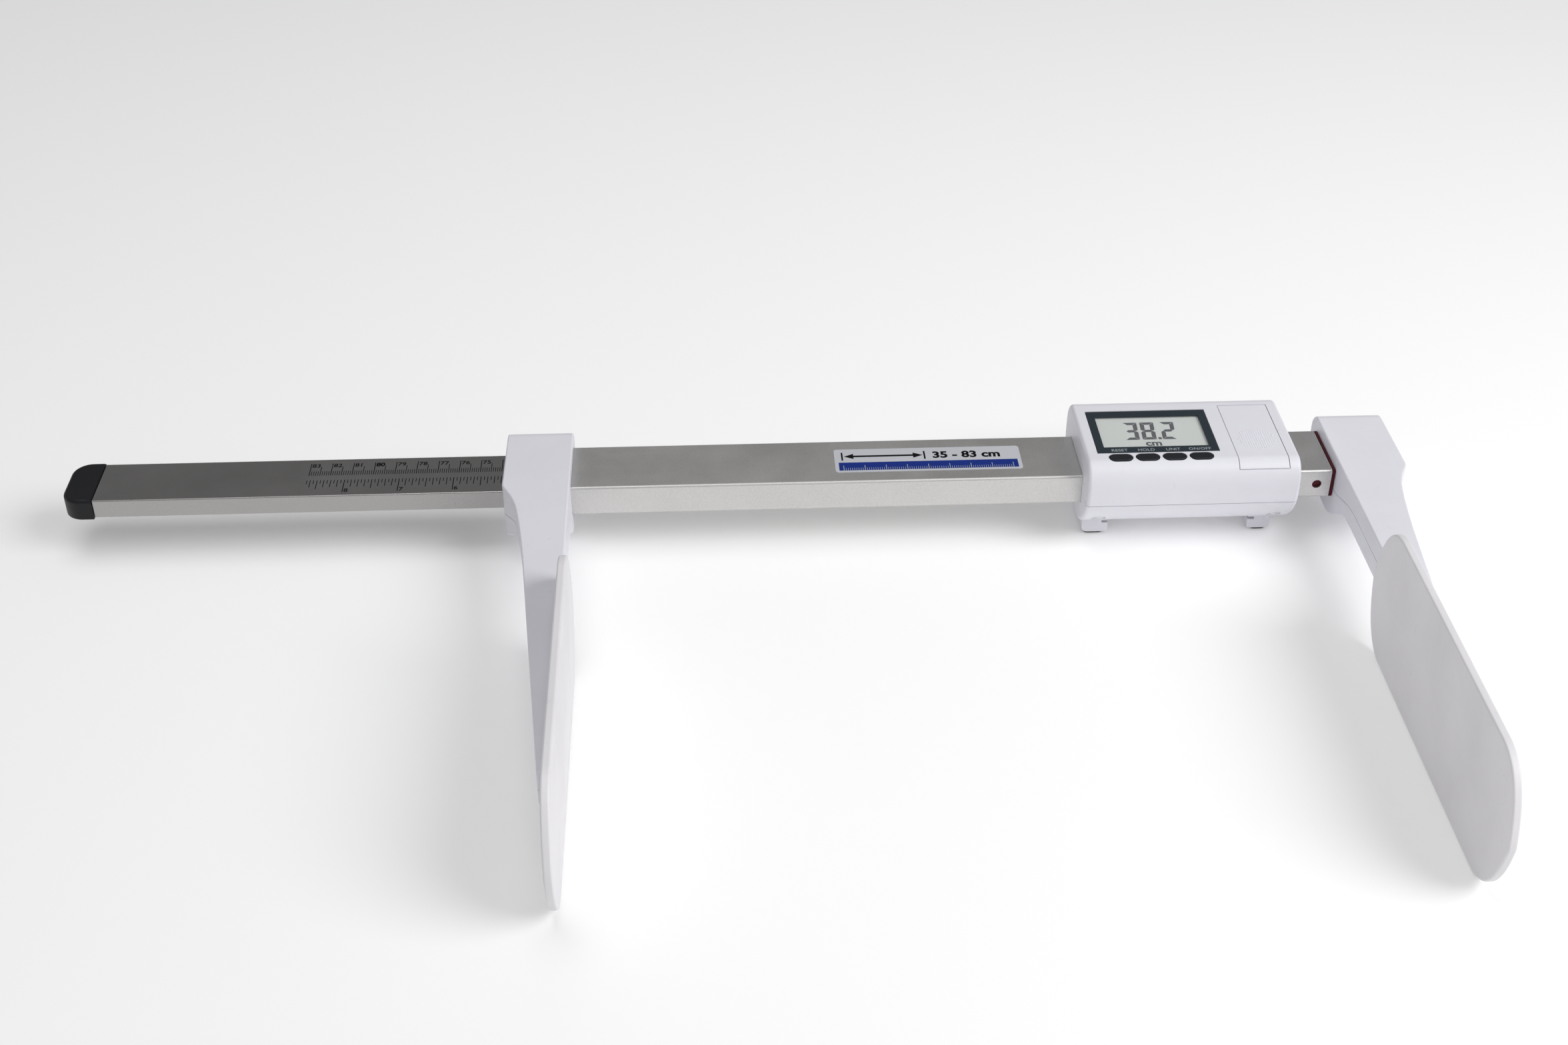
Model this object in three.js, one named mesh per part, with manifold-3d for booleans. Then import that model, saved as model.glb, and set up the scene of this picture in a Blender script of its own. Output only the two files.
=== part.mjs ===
// A digital length-measuring rod for infants: two jaws with paddles on a telescoping aluminium bar, read
// by a battery-powered display. Millimetres, +X along the bar towards the sliding jaw, +Y away from the
// paddles, +Z up. The origin is under the middle of the whole rod, on the surface it lies on.
import * as THREE from "three";
import { mergeVertices } from "three/addons/utils/BufferGeometryUtils.js";
import Module from "manifold-3d";

const wasm = await Module();
wasm.setup();

// ---------------------------------------------------------------- driving dimensions
const closedSpan = 350; // between the paddle faces with the bar pushed right in
const travel = 480; // how far the bar pulls out
const bearingLength = 96; // bar left inside the tube at full stretch
const axisHeight = 27; // tube axis above the table

const tubeWidth = 35.5;
const tubeHeight = 14.9;
const tubeWall = 1.2;
const tubeCorner = 1.2;
const barWidth = 31.1;
const barHeight = 9.2;
const barWall = 1.3;
const barCorner = 0.6;
const barLift = 0.4; // the bar rides this far above the tube's axis, over the encoder strip
const stripWidth = 10;
const stripThickness = 0.8;
const slideGap = 0.2; // between a bushing and what slides in it
const fitGap = 0.3; // between pieces that are fastened together

const capLength = 14.7;
const capWidth = 32.6;
const capHeight = 10.7;
const capRadius = 9;
const plugLength = 14;
const flangeThickness = 1.2;
const bushingLength = 14;
const stopLength = 8;
const snapRadius = 1.9;
const snapInset = 6.5; // from the tube's end to its snap holes

const paddleLength = 175;
const paddleHeight = 65;
const paddleThickness = 3.6;
const paddleCorner = 26;
const paddleBack = -94.7; // the end of a paddle nearest the bar
const paddleGap = 0.4; // between a paddle and its arm
const paddleScrewAt = [-112, -152, -192];
const paddleScrewSink = 2.2; // from an arm's outer side down to the seat of its paddle screws

const headOuter = 35; // a head's outer side, behind its paddle's measuring face
const headBack = 27;
const headFront = -21.5; // where a head starts to narrow into its arm
const headBelowAxis = 18.8;
const headLow = -10; // the lowest place under a head
const shoulder = 7.9; // how much a head narrows over its curved shoulder
const taper = 13; // and by the start of its arm's straight taper
const headAboveAxis = 13;
const armBelowAxis = 5;
const armTip = -220;
const armTipWidth = 4.3;
const hollowTip = -165; // where an arm turns solid
const shellWall = 2.2;
const headRound = 8; // round edge at the top of a head's back
const edgeRound = 1.2;
const partingAtHead = -3.2; // parting line over the tube's axis, beside the head
const partingAtArm = 4; // and along the arm
const lockScrewAt = [11, headOuter - 10]; // from the measuring face
const headScrewY = -27;
const headScrewAt = 17;
const armScrewY = -78;
const armScrewAt = 13;

const caseLength = 98.9;
const caseFromEnd = 18.9; // from the display case to the tube's end
const caseHalfWidth = 32;
const roofSpace = 3.05; // the case's roof and the gaps over and under its cells
const caseBottom = 19.5; // below it
const caseParting = -0.5;
const caseWall = 2;
const caseBevel = 1.8;
const caseScrewInset = 8;
const caseScrewY = 23.5;
const bossRadius = 3.2;

const bezelInset = 5.7; // from the case's left end
const bezelLength = 56.9;
const bezelBack = 18.1;
const bezelDepth = 36.6;
const bezelThickness = 0.6;
const bezelDrop = 0.1; // the bezel's face, below the case's top
const layerGap = 0.05; // between the bezel, the window and the display under it
const windowMargin = 3.8;
const windowHalf = 13.2;
const lensThickness = 0.5;
const lensLip = 1.6; // under the bezel, past the window
const moduleLip = 2.2;
const moduleThickness = 6.9;
const boardThickness = 1.6;
const boardFront = -27;
const boardBack = 19;
const switchHalf = 2.4;
const switchHeight = 2.4;

const buttonCount = 4;
const buttonPitch = 12.53;
const buttonFirst = 15.8; // from the case's left end
const buttonY = -22.3;
const buttonLength = 11;
const buttonWidth = 5.6;
const buttonProud = 0.3;
const buttonTravel = 0.8;
const buttonLip = 0.5;

const doorFromEnd = 17.25; // the battery door's middle, from the case's right end
const doorMargin = 1.25; // the door is this much wider than its cells on each side
const doorBack = 21.4;
const doorFrontHeight = 16.7; // its front edge, above the tube's axis
const doorThickness = 1.5;
const cellRadius = 5;
const cellLength = 44.5;
const cellGap = 0.4;
const contactThickness = 0.6;
const bayWall = 1.2;
const bayTuck = 2.6; // how far the cells reach in behind the door's opening

const footDepth = 30.8;
const leftFoot = [2.1, 14.7]; // from the case's left end
const rightFoot = [81.7, 92.7];
const footRound = 3;
const footNotch = 3.1; // long, in the upper inner edge of a foot
const padOuterMargin = 1.5;
const padInnerMargin = 1.9;
const padThickness = 1;

const readerWidth = 16;
const readerLength = 17;
const readerAt = 44; // reader's middle, from the case's left end
const readerGap = 0.4;

const screwHeadRadius = 2.7;
const screwHeadHeight = 1.8;
const screwRadius = 1.4;
const screwHole = 1.75;

// ---------------------------------------------------------------- places worked out from them
const tubeBottom = axisHeight - tubeHeight / 2;
const tubeTop = axisHeight + tubeHeight / 2;
const barAxis = axisHeight + barLift;
const barBottom = barAxis - barHeight / 2;
const tubeStart = -headOuter + shellWall + fitGap;
const armFace = paddleThickness + paddleGap; // a jaw's inner side, behind the measuring face
const taperFrom = headFront - 60;
const tubeEnd = closedSpan + armFace - 2 * fitGap - flangeThickness;
const barStart = tubeEnd - bearingLength - travel;
const barEnd = closedSpan + headOuter - shellWall * 3;
const stopStart = tubeEnd - bearingLength + fitGap;
const caseStart = tubeEnd - caseFromEnd - caseLength;
const caseEnd = caseStart + caseLength;
const caseTopZ = tubeTop + 2 * cellRadius + roofSpace;
const caseBottomZ = axisHeight - caseBottom;
const casePartingZ = axisHeight + caseParting;
const headTopZ = axisHeight + headAboveAxis;
const headBottomZ = axisHeight - headBelowAxis;
const armBottomZ = axisHeight - armBelowAxis;
const paddleFront = paddleBack - paddleLength;
const paddleScrewZ = axisHeight;
const leftmost = barStart - capLength;
const rightmost = closedSpan + headOuter;

// ---------------------------------------------------------------- solids
const rod = new THREE.Group();
const around = Math.PI / 2;

// A closed three.js geometry as a solid that can be joined and cut.
function solid(geometry) {
  const bare = geometry.index ? geometry.toNonIndexed() : geometry.clone();
  for (const name of Object.keys(bare.attributes)) if (name !== "position") bare.deleteAttribute(name);
  const merged = mergeVertices(bare, 1e-4);
  return new wasm.Manifold(
    new wasm.Mesh({
      numProp: 3,
      vertProperties: merged.attributes.position.array,
      triVerts: new Uint32Array(merged.index.array),
    }),
  );
}

function join(first, ...others) {
  return others.reduce((whole, piece) => whole.add(piece), first);
}

function cut(first, ...others) {
  return others.reduce((whole, piece) => whole.subtract(piece), first);
}

function add(name, shape, finish) {
  const mesh = shape.getMesh();
  const geometry = new THREE.BufferGeometry();
  geometry.setAttribute("position", new THREE.BufferAttribute(new Float32Array(mesh.vertProperties), 3));
  geometry.setIndex(new THREE.BufferAttribute(new Uint32Array(mesh.triVerts), 1));
  geometry.computeVertexNormals();
  const made = new THREE.Mesh(geometry, finish);
  made.name = name;
  rod.add(made);
}

function finish(color, roughness, metalness) {
  return new THREE.MeshStandardMaterial({ color, roughness, metalness });
}

const whitePlastic = finish(0xdad9e4, 0.45, 0);
const paddlePlastic = finish(0xd2cfd3, 0.5, 0);
const satinAluminium = finish(0x9a989c, 0.35, 1);
const darkAluminium = finish(0x67666d, 0.4, 1);
const blackPlastic = finish(0x17181b, 0.5, 0);
const maroonPlastic = finish(0x4a1016, 0.45, 0);
const bezelPlastic = finish(0x2d3840, 0.4, 0);
const clearPlastic = finish(0xdfe5e0, 0.1, 0);
const lcdGrey = finish(0xa9b0a6, 0.3, 0);
const buttonRubber = finish(0x2b3036, 0.7, 0);
const padRubber = finish(0x111112, 0.85, 0);
const boardGreen = finish(0x1d5a37, 0.5, 0);
const springSteel = finish(0xb9bbbe, 0.3, 1);
const cellJacket = finish(0x38506a, 0.35, 0.4);

// A rectangle with its corner round; a curved corner takes `steps` chords.
function roundedRect(x0, y0, x1, y1, radius) {
  const r = Math.min(radius, (x1 - x0) / 2 - 0.01, (y1 - y0) / 2 - 0.01);
  const shape = new THREE.Shape();
  if (r <= 0) return shape.moveTo(x0, y0).lineTo(x1, y0).lineTo(x1, y1).lineTo(x0, y1);
  shape.absarc(x1 - r, y0 + r, r, -around, 0);
  shape.absarc(x1 - r, y1 - r, r, 0, around);
  shape.absarc(x0 + r, y1 - r, r, around, 2 * around);
  shape.absarc(x0 + r, y0 + r, r, 2 * around, 3 * around);
  return shape;
}

// A slot shape lying along x, with half-round ends.
function stadium(x, y, length, width) {
  const r = width / 2;
  const shape = new THREE.Shape();
  shape.absarc(x + length / 2 - r, y, r, -around, around);
  shape.absarc(x - length / 2 + r, y, r, around, 3 * around);
  return shape;
}

// An outline drawn to `depth`, with its edges bevelled inwards where a bevel is given.
function drawn(shape, depth, bevel, steps) {
  const bevelled = bevel > 0;
  return new THREE.ExtrudeGeometry(shape, {
    depth: depth - 2 * bevel,
    curveSegments: steps,
    bevelEnabled: bevelled,
    bevelThickness: bevel,
    bevelSize: bevel,
    bevelOffset: -bevel,
    bevelSegments: 2,
  }).translate(0, 0, bevel);
}

const alongXAxes = new THREE.Matrix4().set(0, 0, 1, 0, 1, 0, 0, 0, 0, 1, 0, 0, 0, 0, 0, 1);
const alongYAxes = new THREE.Matrix4().set(1, 0, 0, 0, 0, 0, -1, 0, 0, 1, 0, 0, 0, 0, 0, 1);

// A (y, z) outline from x0 to x1.
function alongX(shape, x0, x1, { bevel = 0, steps = 3 } = {}) {
  return solid(drawn(shape, x1 - x0, bevel, steps).applyMatrix4(alongXAxes).translate(x0, 0, 0));
}

// An (x, z) outline from y0 to y1.
function alongY(shape, y0, y1, { bevel = 0, steps = 3 } = {}) {
  return solid(drawn(shape, y1 - y0, bevel, steps).applyMatrix4(alongYAxes).translate(0, y1, 0));
}

// An (x, y) outline from z0 to z1.
function alongZ(shape, z0, z1, { bevel = 0, steps = 3 } = {}) {
  return solid(drawn(shape, z1 - z0, bevel, steps).translate(0, 0, z0));
}

function box(x0, x1, y0, y1, z0, z1) {
  const size = new THREE.BoxGeometry(x1 - x0, y1 - y0, z1 - z0);
  return solid(size.translate((x0 + x1) / 2, (y0 + y1) / 2, (z0 + z1) / 2));
}

// A round bar of `radius` from point `from`, `length` long along the unit vector `way`.
function pin(from, way, length, radius, sides = 12) {
  const bar = new THREE.CylinderGeometry(radius, radius, length, sides).translate(0, length / 2, 0);
  const turn = new THREE.Quaternion().setFromUnitVectors(new THREE.Vector3(0, 1, 0), way);
  return solid(bar.applyQuaternion(turn).translate(from.x, from.y, from.z));
}

const up = new THREE.Vector3(0, 0, 1);
const point = (x, y, z) => new THREE.Vector3(x, y, z);

// A self-tapping screw: the underside of its head is at `seat`, its shank points along `way`.
function screw(name, seat, way, length) {
  const back = seat.clone().addScaledVector(way, -screwHeadHeight);
  const head = pin(back, way, screwHeadHeight, screwHeadRadius);
  const shank = pin(back, way, screwHeadHeight + length, screwRadius, 8);
  add(name, join(head, shank), springSteel);
}

// The opening in a bushing for the bar and the strip under it.
function barPassage(x0, x1) {
  const half = barWidth / 2 + slideGap;
  const round = roundedRect(-half, barBottom - slideGap, half, barBottom + barHeight + slideGap, barCorner);
  const groove = stripWidth / 2 + fitGap;
  const floor = barBottom - stripThickness - fitGap;
  return join(alongX(round, x0, x1), box(x0, x1, -groove, groove, floor, barBottom));
}

// ---------------------------------------------------------------- outer tube and its bushings
function tubeOutline(grow, radius) {
  const half = tubeWidth / 2 + grow;
  return roundedRect(-half, tubeBottom - grow, half, tubeTop + grow, radius);
}

function makeTube() {
  const skin = alongX(tubeOutline(0, tubeCorner), tubeStart, tubeEnd);
  const bore = alongX(tubeOutline(-tubeWall, 0.4), tubeStart - 1, tubeEnd + 1);
  const readerHalf = readerWidth / 2 + fitGap;
  const readerMiddle = caseStart + readerAt;
  const readerSpan = readerLength / 2 + fitGap;
  const slot = box(
    readerMiddle - readerSpan,
    readerMiddle + readerSpan,
    -readerHalf,
    readerHalf,
    tubeBottom - 1,
    tubeBottom + tubeWall + 0.5,
  );
  const snapHoles = pin(
    point(tubeEnd - snapInset, -tubeWidth, axisHeight),
    point(0, 1, 0),
    tubeWidth * 2,
    snapRadius + fitGap,
  );
  const lockHoles = lockScrewAt.map((at) => pin(point(-at, 0, tubeBottom - 1), up, tubeWall + 2, screwHole));
  add("outer_tube", cut(skin, bore, slot, snapHoles, ...lockHoles), satinAluminium);
}

function makeEndBushing() {
  const start = tubeEnd - bushingLength;
  const flangeEnd = tubeEnd + fitGap + flangeThickness;
  const sleeve = alongX(tubeOutline(-tubeWall - slideGap, 0.3), start, flangeEnd);
  const flange = alongX(tubeOutline(0, tubeCorner), tubeEnd + fitGap, flangeEnd);
  const boss = (side) => {
    const root = tubeWidth / 2 - tubeWall - slideGap - 0.4;
    return pin(
      point(tubeEnd - snapInset, side * root, axisHeight),
      point(0, side, 0),
      tubeWall + slideGap,
      snapRadius,
    );
  };
  const whole = join(sleeve, flange, boss(1), boss(-1));
  add("tube_end_bushing", cut(whole, barPassage(start - 1, flangeEnd + 1)), maroonPlastic);
}

function makeStopBushing() {
  const end = stopStart + stopLength;
  const ring = alongX(tubeOutline(-tubeWall - slideGap, 0.3), stopStart, end);
  add("tube_stop_bushing", cut(ring, barPassage(stopStart - 1, end + 1)), maroonPlastic);
}

// ---------------------------------------------------------------- sliding bar
function barOutline(grow, radius) {
  const half = barWidth / 2 + grow;
  return roundedRect(-half, barBottom - grow, half, barBottom + barHeight + grow, radius);
}

function makeBar() {
  const skin = alongX(barOutline(0, barCorner), barStart, barEnd);
  const bore = alongX(barOutline(-barWall, 0.2), barStart - 1, barEnd + 1);
  const lockHoles = lockScrewAt.map((at) =>
    pin(point(closedSpan + at, 0, barBottom - 1), up, barWall + 2, screwHole),
  );
  add("inner_bar", cut(skin, bore, ...lockHoles), darkAluminium);
  const stripEnd = closedSpan + armFace - fitGap;
  const half = stripWidth / 2;
  const strip = box(barStart, stripEnd, -half, half, barBottom - stripThickness, barBottom - 0.02);
  add("encoder_strip", strip, blackPlastic);
}

function makeEndCap() {
  const end = barStart - fitGap;
  const middle = barAxis;
  const plan = new THREE.Shape();
  const half = capWidth / 2;
  plan.moveTo(end, -half);
  plan.lineTo(end, half);
  plan.lineTo(leftmost + capRadius, half);
  plan.absellipse(leftmost + capRadius, half - capRadius, capRadius, capRadius, around, 2 * around);
  plan.absellipse(leftmost + capRadius, -half + capRadius, capRadius, capRadius, 2 * around, 3 * around);
  const dome = alongZ(plan, middle - capHeight / 2, middle + capHeight / 2, { bevel: 1.4, steps: 6 });
  const plug = alongX(barOutline(-barWall - slideGap, 0.2), leftmost + capLength / 2, barStart + plugLength);
  add("bar_end_cap", join(dome, plug), blackPlastic);
}

// ---------------------------------------------------------------- jaws
// Plan outline of a head and its arm down to `tip`, inset by `inset`; `place` turns a distance behind
// the measuring face into x.
function jawPlan(place, inset, tip) {
  const inner = armFace + inset;
  const outer = headOuter - inset;
  const tipOuter = armFace + armThicknessAt(tip) - inset;
  const back = headBack + 1;
  const shape = new THREE.Shape();
  shape.moveTo(place(inner), back);
  shape.lineTo(place(outer), back);
  shape.lineTo(place(outer), headFront);
  shape.bezierCurveTo(
    place(outer - 1.5),
    headFront - 5,
    place(outer - 5.5),
    headFront - 8,
    place(outer - shoulder),
    headFront - 22,
  );
  shape.quadraticCurveTo(place(outer - shoulder - 2.6), headFront - 36, place(outer - taper), taperFrom);
  shape.lineTo(place(tipOuter), tip);
  shape.lineTo(place(inner), tip);
  return shape;
}

// Side outline (y, z) of a head and its arm, inset by `inset`: flat on top, round at the back and
// underneath, with a straight arm.
function jawSide(inset) {
  const top = headTopZ - inset;
  const bottom = headBottomZ + inset;
  const armBottom = armBottomZ + inset;
  const back = headBack - inset;
  const r = headRound - inset;
  const widest = axisHeight + 2;
  const front = armTip + inset;
  const shape = new THREE.Shape();
  shape.moveTo(back - r, top);
  shape.absellipse(back - r, top - r, r, r, around, 0, true);
  shape.lineTo(back, widest);
  shape.absellipse(headLow, widest, back - headLow, widest - bottom, 0, -around, true);
  shape.bezierCurveTo(headLow - 11, bottom, headFront - 6, armBottom - 4, headFront - 17, armBottom - 0.5);
  shape.lineTo(headFront - 28, armBottom);
  shape.lineTo(front + 3, armBottom);
  shape.quadraticCurveTo(front, armBottom, front, armBottom + 3);
  shape.lineTo(front, top);
  return shape;
}

// Everything over the parting line of a jaw, raised or lowered by `shift`.
function overParting(low, high, shift) {
  const far = 400;
  const shape = new THREE.Shape();
  const headZ = axisHeight + partingAtHead + shift;
  const armZ = axisHeight + partingAtArm + shift;
  shape.moveTo(far, headZ);
  shape.lineTo(headFront + 6, headZ);
  shape.bezierCurveTo(headFront - 8, headZ, headFront - 12, armZ, headFront - 34, armZ);
  shape.lineTo(-far, armZ);
  shape.lineTo(-far, far);
  shape.lineTo(far, far);
  return alongX(shape, low, high, { steps: 6 });
}

// A paddle: a round-cornered plate with a boss for each screw.
function makePaddle(name, side, face) {
  const outline = new THREE.Shape();
  const r = paddleCorner;
  const bulge = 3;
  const [y0, y1, z0, z1] = [paddleFront, paddleBack, 0, paddleHeight];
  outline.moveTo(y0 + r, z0);
  outline.lineTo(y1 - r, z0);
  outline.bezierCurveTo(y1 - r * 0.4, z0, y1 - bulge, z0 + r * 0.5, y1, z0 + paddleHeight / 2);
  outline.bezierCurveTo(y1 - bulge, z1 - r * 0.5, y1 - r * 0.4, z1, y1 - r, z1);
  outline.lineTo(y0 + r, z1);
  outline.bezierCurveTo(y0 + r * 0.4, z1, y0 + bulge, z1 - r * 0.5, y0, z0 + paddleHeight / 2);
  outline.bezierCurveTo(y0 + bulge, z0 + r * 0.5, y0 + r * 0.4, z0, y0 + r, z0);
  const behind = face - side * paddleThickness;
  const plate = alongX(outline, Math.min(face, behind), Math.max(face, behind), { bevel: 1, steps: 6 });
  const bosses = paddleScrewAt.map((y) => {
    const depth = bossEnd(y) - paddleThickness - fitGap;
    const from = point(behind + side * 0.5, y, paddleScrewZ);
    return pin(from, point(-side, 0, 0), depth + 0.5, bossRadius);
  });
  const holes = paddleScrewAt.map((y) => {
    const depth = armThicknessAt(y) + paddleGap;
    return pin(point(behind, y, paddleScrewZ), point(-side, 0, 0), depth + 1, screwHole);
  });
  add(name, cut(join(plate, ...bosses), ...holes), paddlePlastic);
}

// Width of an arm's straight taper at y, from its inner side to its outer side.
function armThicknessAt(y) {
  const wide = headOuter - taper - armFace;
  const share = (y - taperFrom) / (armTip - taperFrom);
  return wide + (armTipWidth - wide) * share;
}

// The two shells of a jaw. `side` is -1 for the left jaw and 1 for the right one, `face` is where its
// paddle measures, and `socket` is the space that the tube or the bar takes in it.
function makeJaw(label, side, face, socket, seatZ) {
  const place = (behind) => face + side * behind;
  const outwards = point(side, 0, 0);
  const low = Math.min(place(0), place(headOuter)) - 1;
  const high = Math.max(place(0), place(headOuter)) + 1;
  const near = Math.min(place(armFace), place(headOuter));
  const far = Math.max(place(armFace), place(headOuter));
  const skin = alongZ(jawPlan(place, 0, armTip), 0, headTopZ + 1, { steps: 5 });
  const hollowPlan = alongZ(
    jawPlan(place, shellWall, hollowTip),
    headBottomZ + shellWall,
    headTopZ - shellWall,
    { steps: 5 },
  );
  const hollow = hollowPlan
    .intersect(alongX(jawSide(shellWall), low, high, { steps: 5 }))
    .intersect(box(low, high, armTip, headFront - 2, 0, headTopZ));
  const ribCount = lockScrewAt.length + 1;
  const ribbed = [];
  for (let i = 0; i < ribCount; i++) {
    const span = (headOuter - armFace - 2 * shellWall) / ribCount;
    const start = armFace + shellWall + i * span + 1;
    const ends = [place(start), place(start + span - 2)].sort((a, b) => a - b);
    ribbed.push(box(ends[0], ends[1], 5, 14, headBottomZ + shellWall, seatZ));
    ribbed.push(box(ends[0], ends[1], -14, -5, headBottomZ + shellWall, seatZ));
  }
  const block = skin.intersect(alongX(jawSide(0), near, far, { bevel: edgeRound, steps: 7 }));
  const screwPoints = [
    point(place(headScrewAt), headScrewY, 0),
    point(place(armScrewAt), armScrewY, 0),
  ];
  const bosses = screwPoints.map((at) =>
    pin(at, up, headTopZ, bossRadius + 0.6).intersect(block),
  );
  const solidJaw = cut(join(cut(block, hollow), ...bosses), socket);
  const seats = [headBottomZ + 9.5, armBottomZ + 3];
  const shanks = screwPoints.map((at) => pin(at, up, headTopZ - shellWall, screwHole));
  const wells = screwPoints.map((at, i) => pin(at, up, seats[i], screwHeadRadius + 0.4));
  const locks = lockScrewAt.map((at) => point(place(at), 0, 0));
  const lockSeat = headBottomZ + 4;
  const lockHoles = locks.map((at) => pin(at, up, seatZ + 1, screwHole));
  const lockWells = locks.map((at) => pin(at, up, lockSeat, screwHeadRadius + 0.4));
  const paddleHoles = paddleScrewAt.map((y) =>
    join(
      pin(point(face, y, paddleScrewZ), outwards, bossEnd(y), bossRadius + fitGap),
      pin(point(face, y, paddleScrewZ), outwards, headOuter, screwHole),
    ),
  );
  const paddleWells = paddleScrewAt.map((y) =>
    pin(point(place(paddleSeat(y)), y, paddleScrewZ), outwards, headOuter, screwHeadRadius + 0.4),
  );
  const holes = [...shanks, ...wells, ...lockHoles, ...lockWells, ...paddleHoles, ...paddleWells];
  const upper = cut(solidJaw, ...shanks).intersect(overParting(low, high, fitGap / 2));
  const lower = cut(cut(solidJaw, ...holes, ...ribbed), overParting(low, high, -fitGap / 2));
  add(label + "_head_upper", upper, whitePlastic);
  add(label + "_head_lower", lower, whitePlastic);
  screwPoints.forEach((at, i) => {
    const length = headTopZ - shellWall - 1 - seats[i];
    screw(`${label}_head_screw_${i + 1}`, point(at.x, at.y, seats[i]), up, length);
  });
  locks.forEach((at, i) => {
    screw(`${label}_lock_screw_${i + 1}`, point(at.x, at.y, lockSeat), up, seatZ + 1 - lockSeat);
  });
  paddleScrewAt.forEach((y, i) => {
    const seat = point(place(paddleSeat(y)), y, paddleScrewZ);
    const length = paddleSeat(y) - paddleThickness - fitGap;
    screw(`${label}_paddle_screw_${i + 1}`, seat, point(-side, 0, 0), length);
  });
}

// Where the hole for a paddle's boss ends in its arm, behind the measuring face.
function bossEnd(y) {
  return paddleSeat(y) - 1.4;
}

// Where a paddle screw's head seats, behind the measuring face.
function paddleSeat(y) {
  return armFace + armThicknessAt(y) - paddleScrewSink;
}

makeTube();
makeEndBushing();
makeStopBushing();
makeBar();
makeEndCap();

const tubeSocket = join(
  alongX(tubeOutline(fitGap, tubeCorner), tubeStart - fitGap, 0),
  alongX(tubeOutline(-tubeWall, 0.4), -headOuter - 1, 0),
);
makeJaw("fixed", -1, 0, tubeSocket, tubeBottom);
makePaddle("fixed_paddle", 1, 0);

const barSocket = alongX(barOutline(fitGap, barCorner), closedSpan, barEnd + fitGap);
makeJaw("sliding", 1, closedSpan, barSocket, barBottom);
makePaddle("sliding_paddle", -1, closedSpan);

// ---------------------------------------------------------------- display case
// Cross-section of the case (y, z), inset by `inset`: flat top, full rounded front and back.
function caseOutline(inset) {
  const half = caseHalfWidth - inset;
  const top = caseTopZ - inset;
  const bottom = caseBottomZ + inset;
  const flatTop = caseHalfWidth - 9 - inset;
  const flatBottom = caseHalfWidth - 18 - inset;
  const shape = new THREE.Shape();
  shape.moveTo(flatTop, top);
  shape.lineTo(-flatTop, top);
  shape.bezierCurveTo(-flatTop - 5.5, top, -half, top - 5.5, -half, top - 12.5);
  shape.lineTo(-half, casePartingZ + 3.5);
  shape.bezierCurveTo(-half, bottom + 13.5, -flatBottom - 8, bottom + 4, -flatBottom, bottom);
  shape.lineTo(flatBottom, bottom);
  shape.bezierCurveTo(flatBottom + 8, bottom + 4, half, bottom + 13.5, half, casePartingZ + 3.5);
  shape.lineTo(half, top - 12.5);
  shape.bezierCurveTo(half, top - 5.5, flatTop + 5.5, top, flatTop, top);
  return shape;
}

function caseSkin() {
  return alongX(caseOutline(0), caseStart, caseEnd, { bevel: caseBevel, steps: 4 });
}

function caseHollow() {
  return alongX(caseOutline(caseWall), caseStart + caseWall, caseEnd - caseWall, { steps: 4 });
}

// What stands inside the case stays within this.
function caseTrim() {
  return alongX(caseOutline(0.5), caseStart, caseEnd, { steps: 4 });
}

const caseScrews = [caseStart + caseScrewInset, caseEnd - caseScrewInset].flatMap((x) =>
  [-caseScrewY, caseScrewY].map((y) => point(x, y, 0)),
);
const buttonXs = Array.from({ length: buttonCount }, (_, i) => caseStart + buttonFirst + i * buttonPitch);
const bezel = {
  x0: caseStart + bezelInset,
  x1: caseStart + bezelInset + bezelLength,
  y0: bezelBack - bezelDepth,
  y1: bezelBack,
};
const cellWidth = 4 * cellRadius + 3 * cellGap;
const doorMiddle = caseEnd - doorFromEnd;
const doorHalf = cellWidth / 2 + doorMargin;
const door = { x0: doorMiddle - doorHalf, x1: doorMiddle + doorHalf };
const cellZ = caseTopZ - doorThickness - fitGap - cellRadius;
const bay = {
  x0: doorMiddle - cellWidth / 2,
  x1: doorMiddle + cellWidth / 2,
  y0: doorBack + bayTuck - cellLength - 2 * contactThickness - 3,
  y1: doorBack + bayTuck,
  z0: cellZ - cellRadius - fitGap,
};
const lidZ = axisHeight + doorFrontHeight;

function doorRegion(clearance, thickness) {
  const strip = box(
    door.x0 - clearance,
    door.x1 + clearance,
    -caseHalfWidth - 1,
    doorBack + clearance,
    lidZ - clearance,
    caseTopZ + 1,
  );
  const core = alongX(caseOutline(thickness), caseStart, caseEnd, { steps: 4 });
  return cut(strip, core);
}

function tubeThroughCase() {
  return alongX(tubeOutline(fitGap, tubeCorner), caseStart - 1, caseEnd + 1);
}

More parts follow.
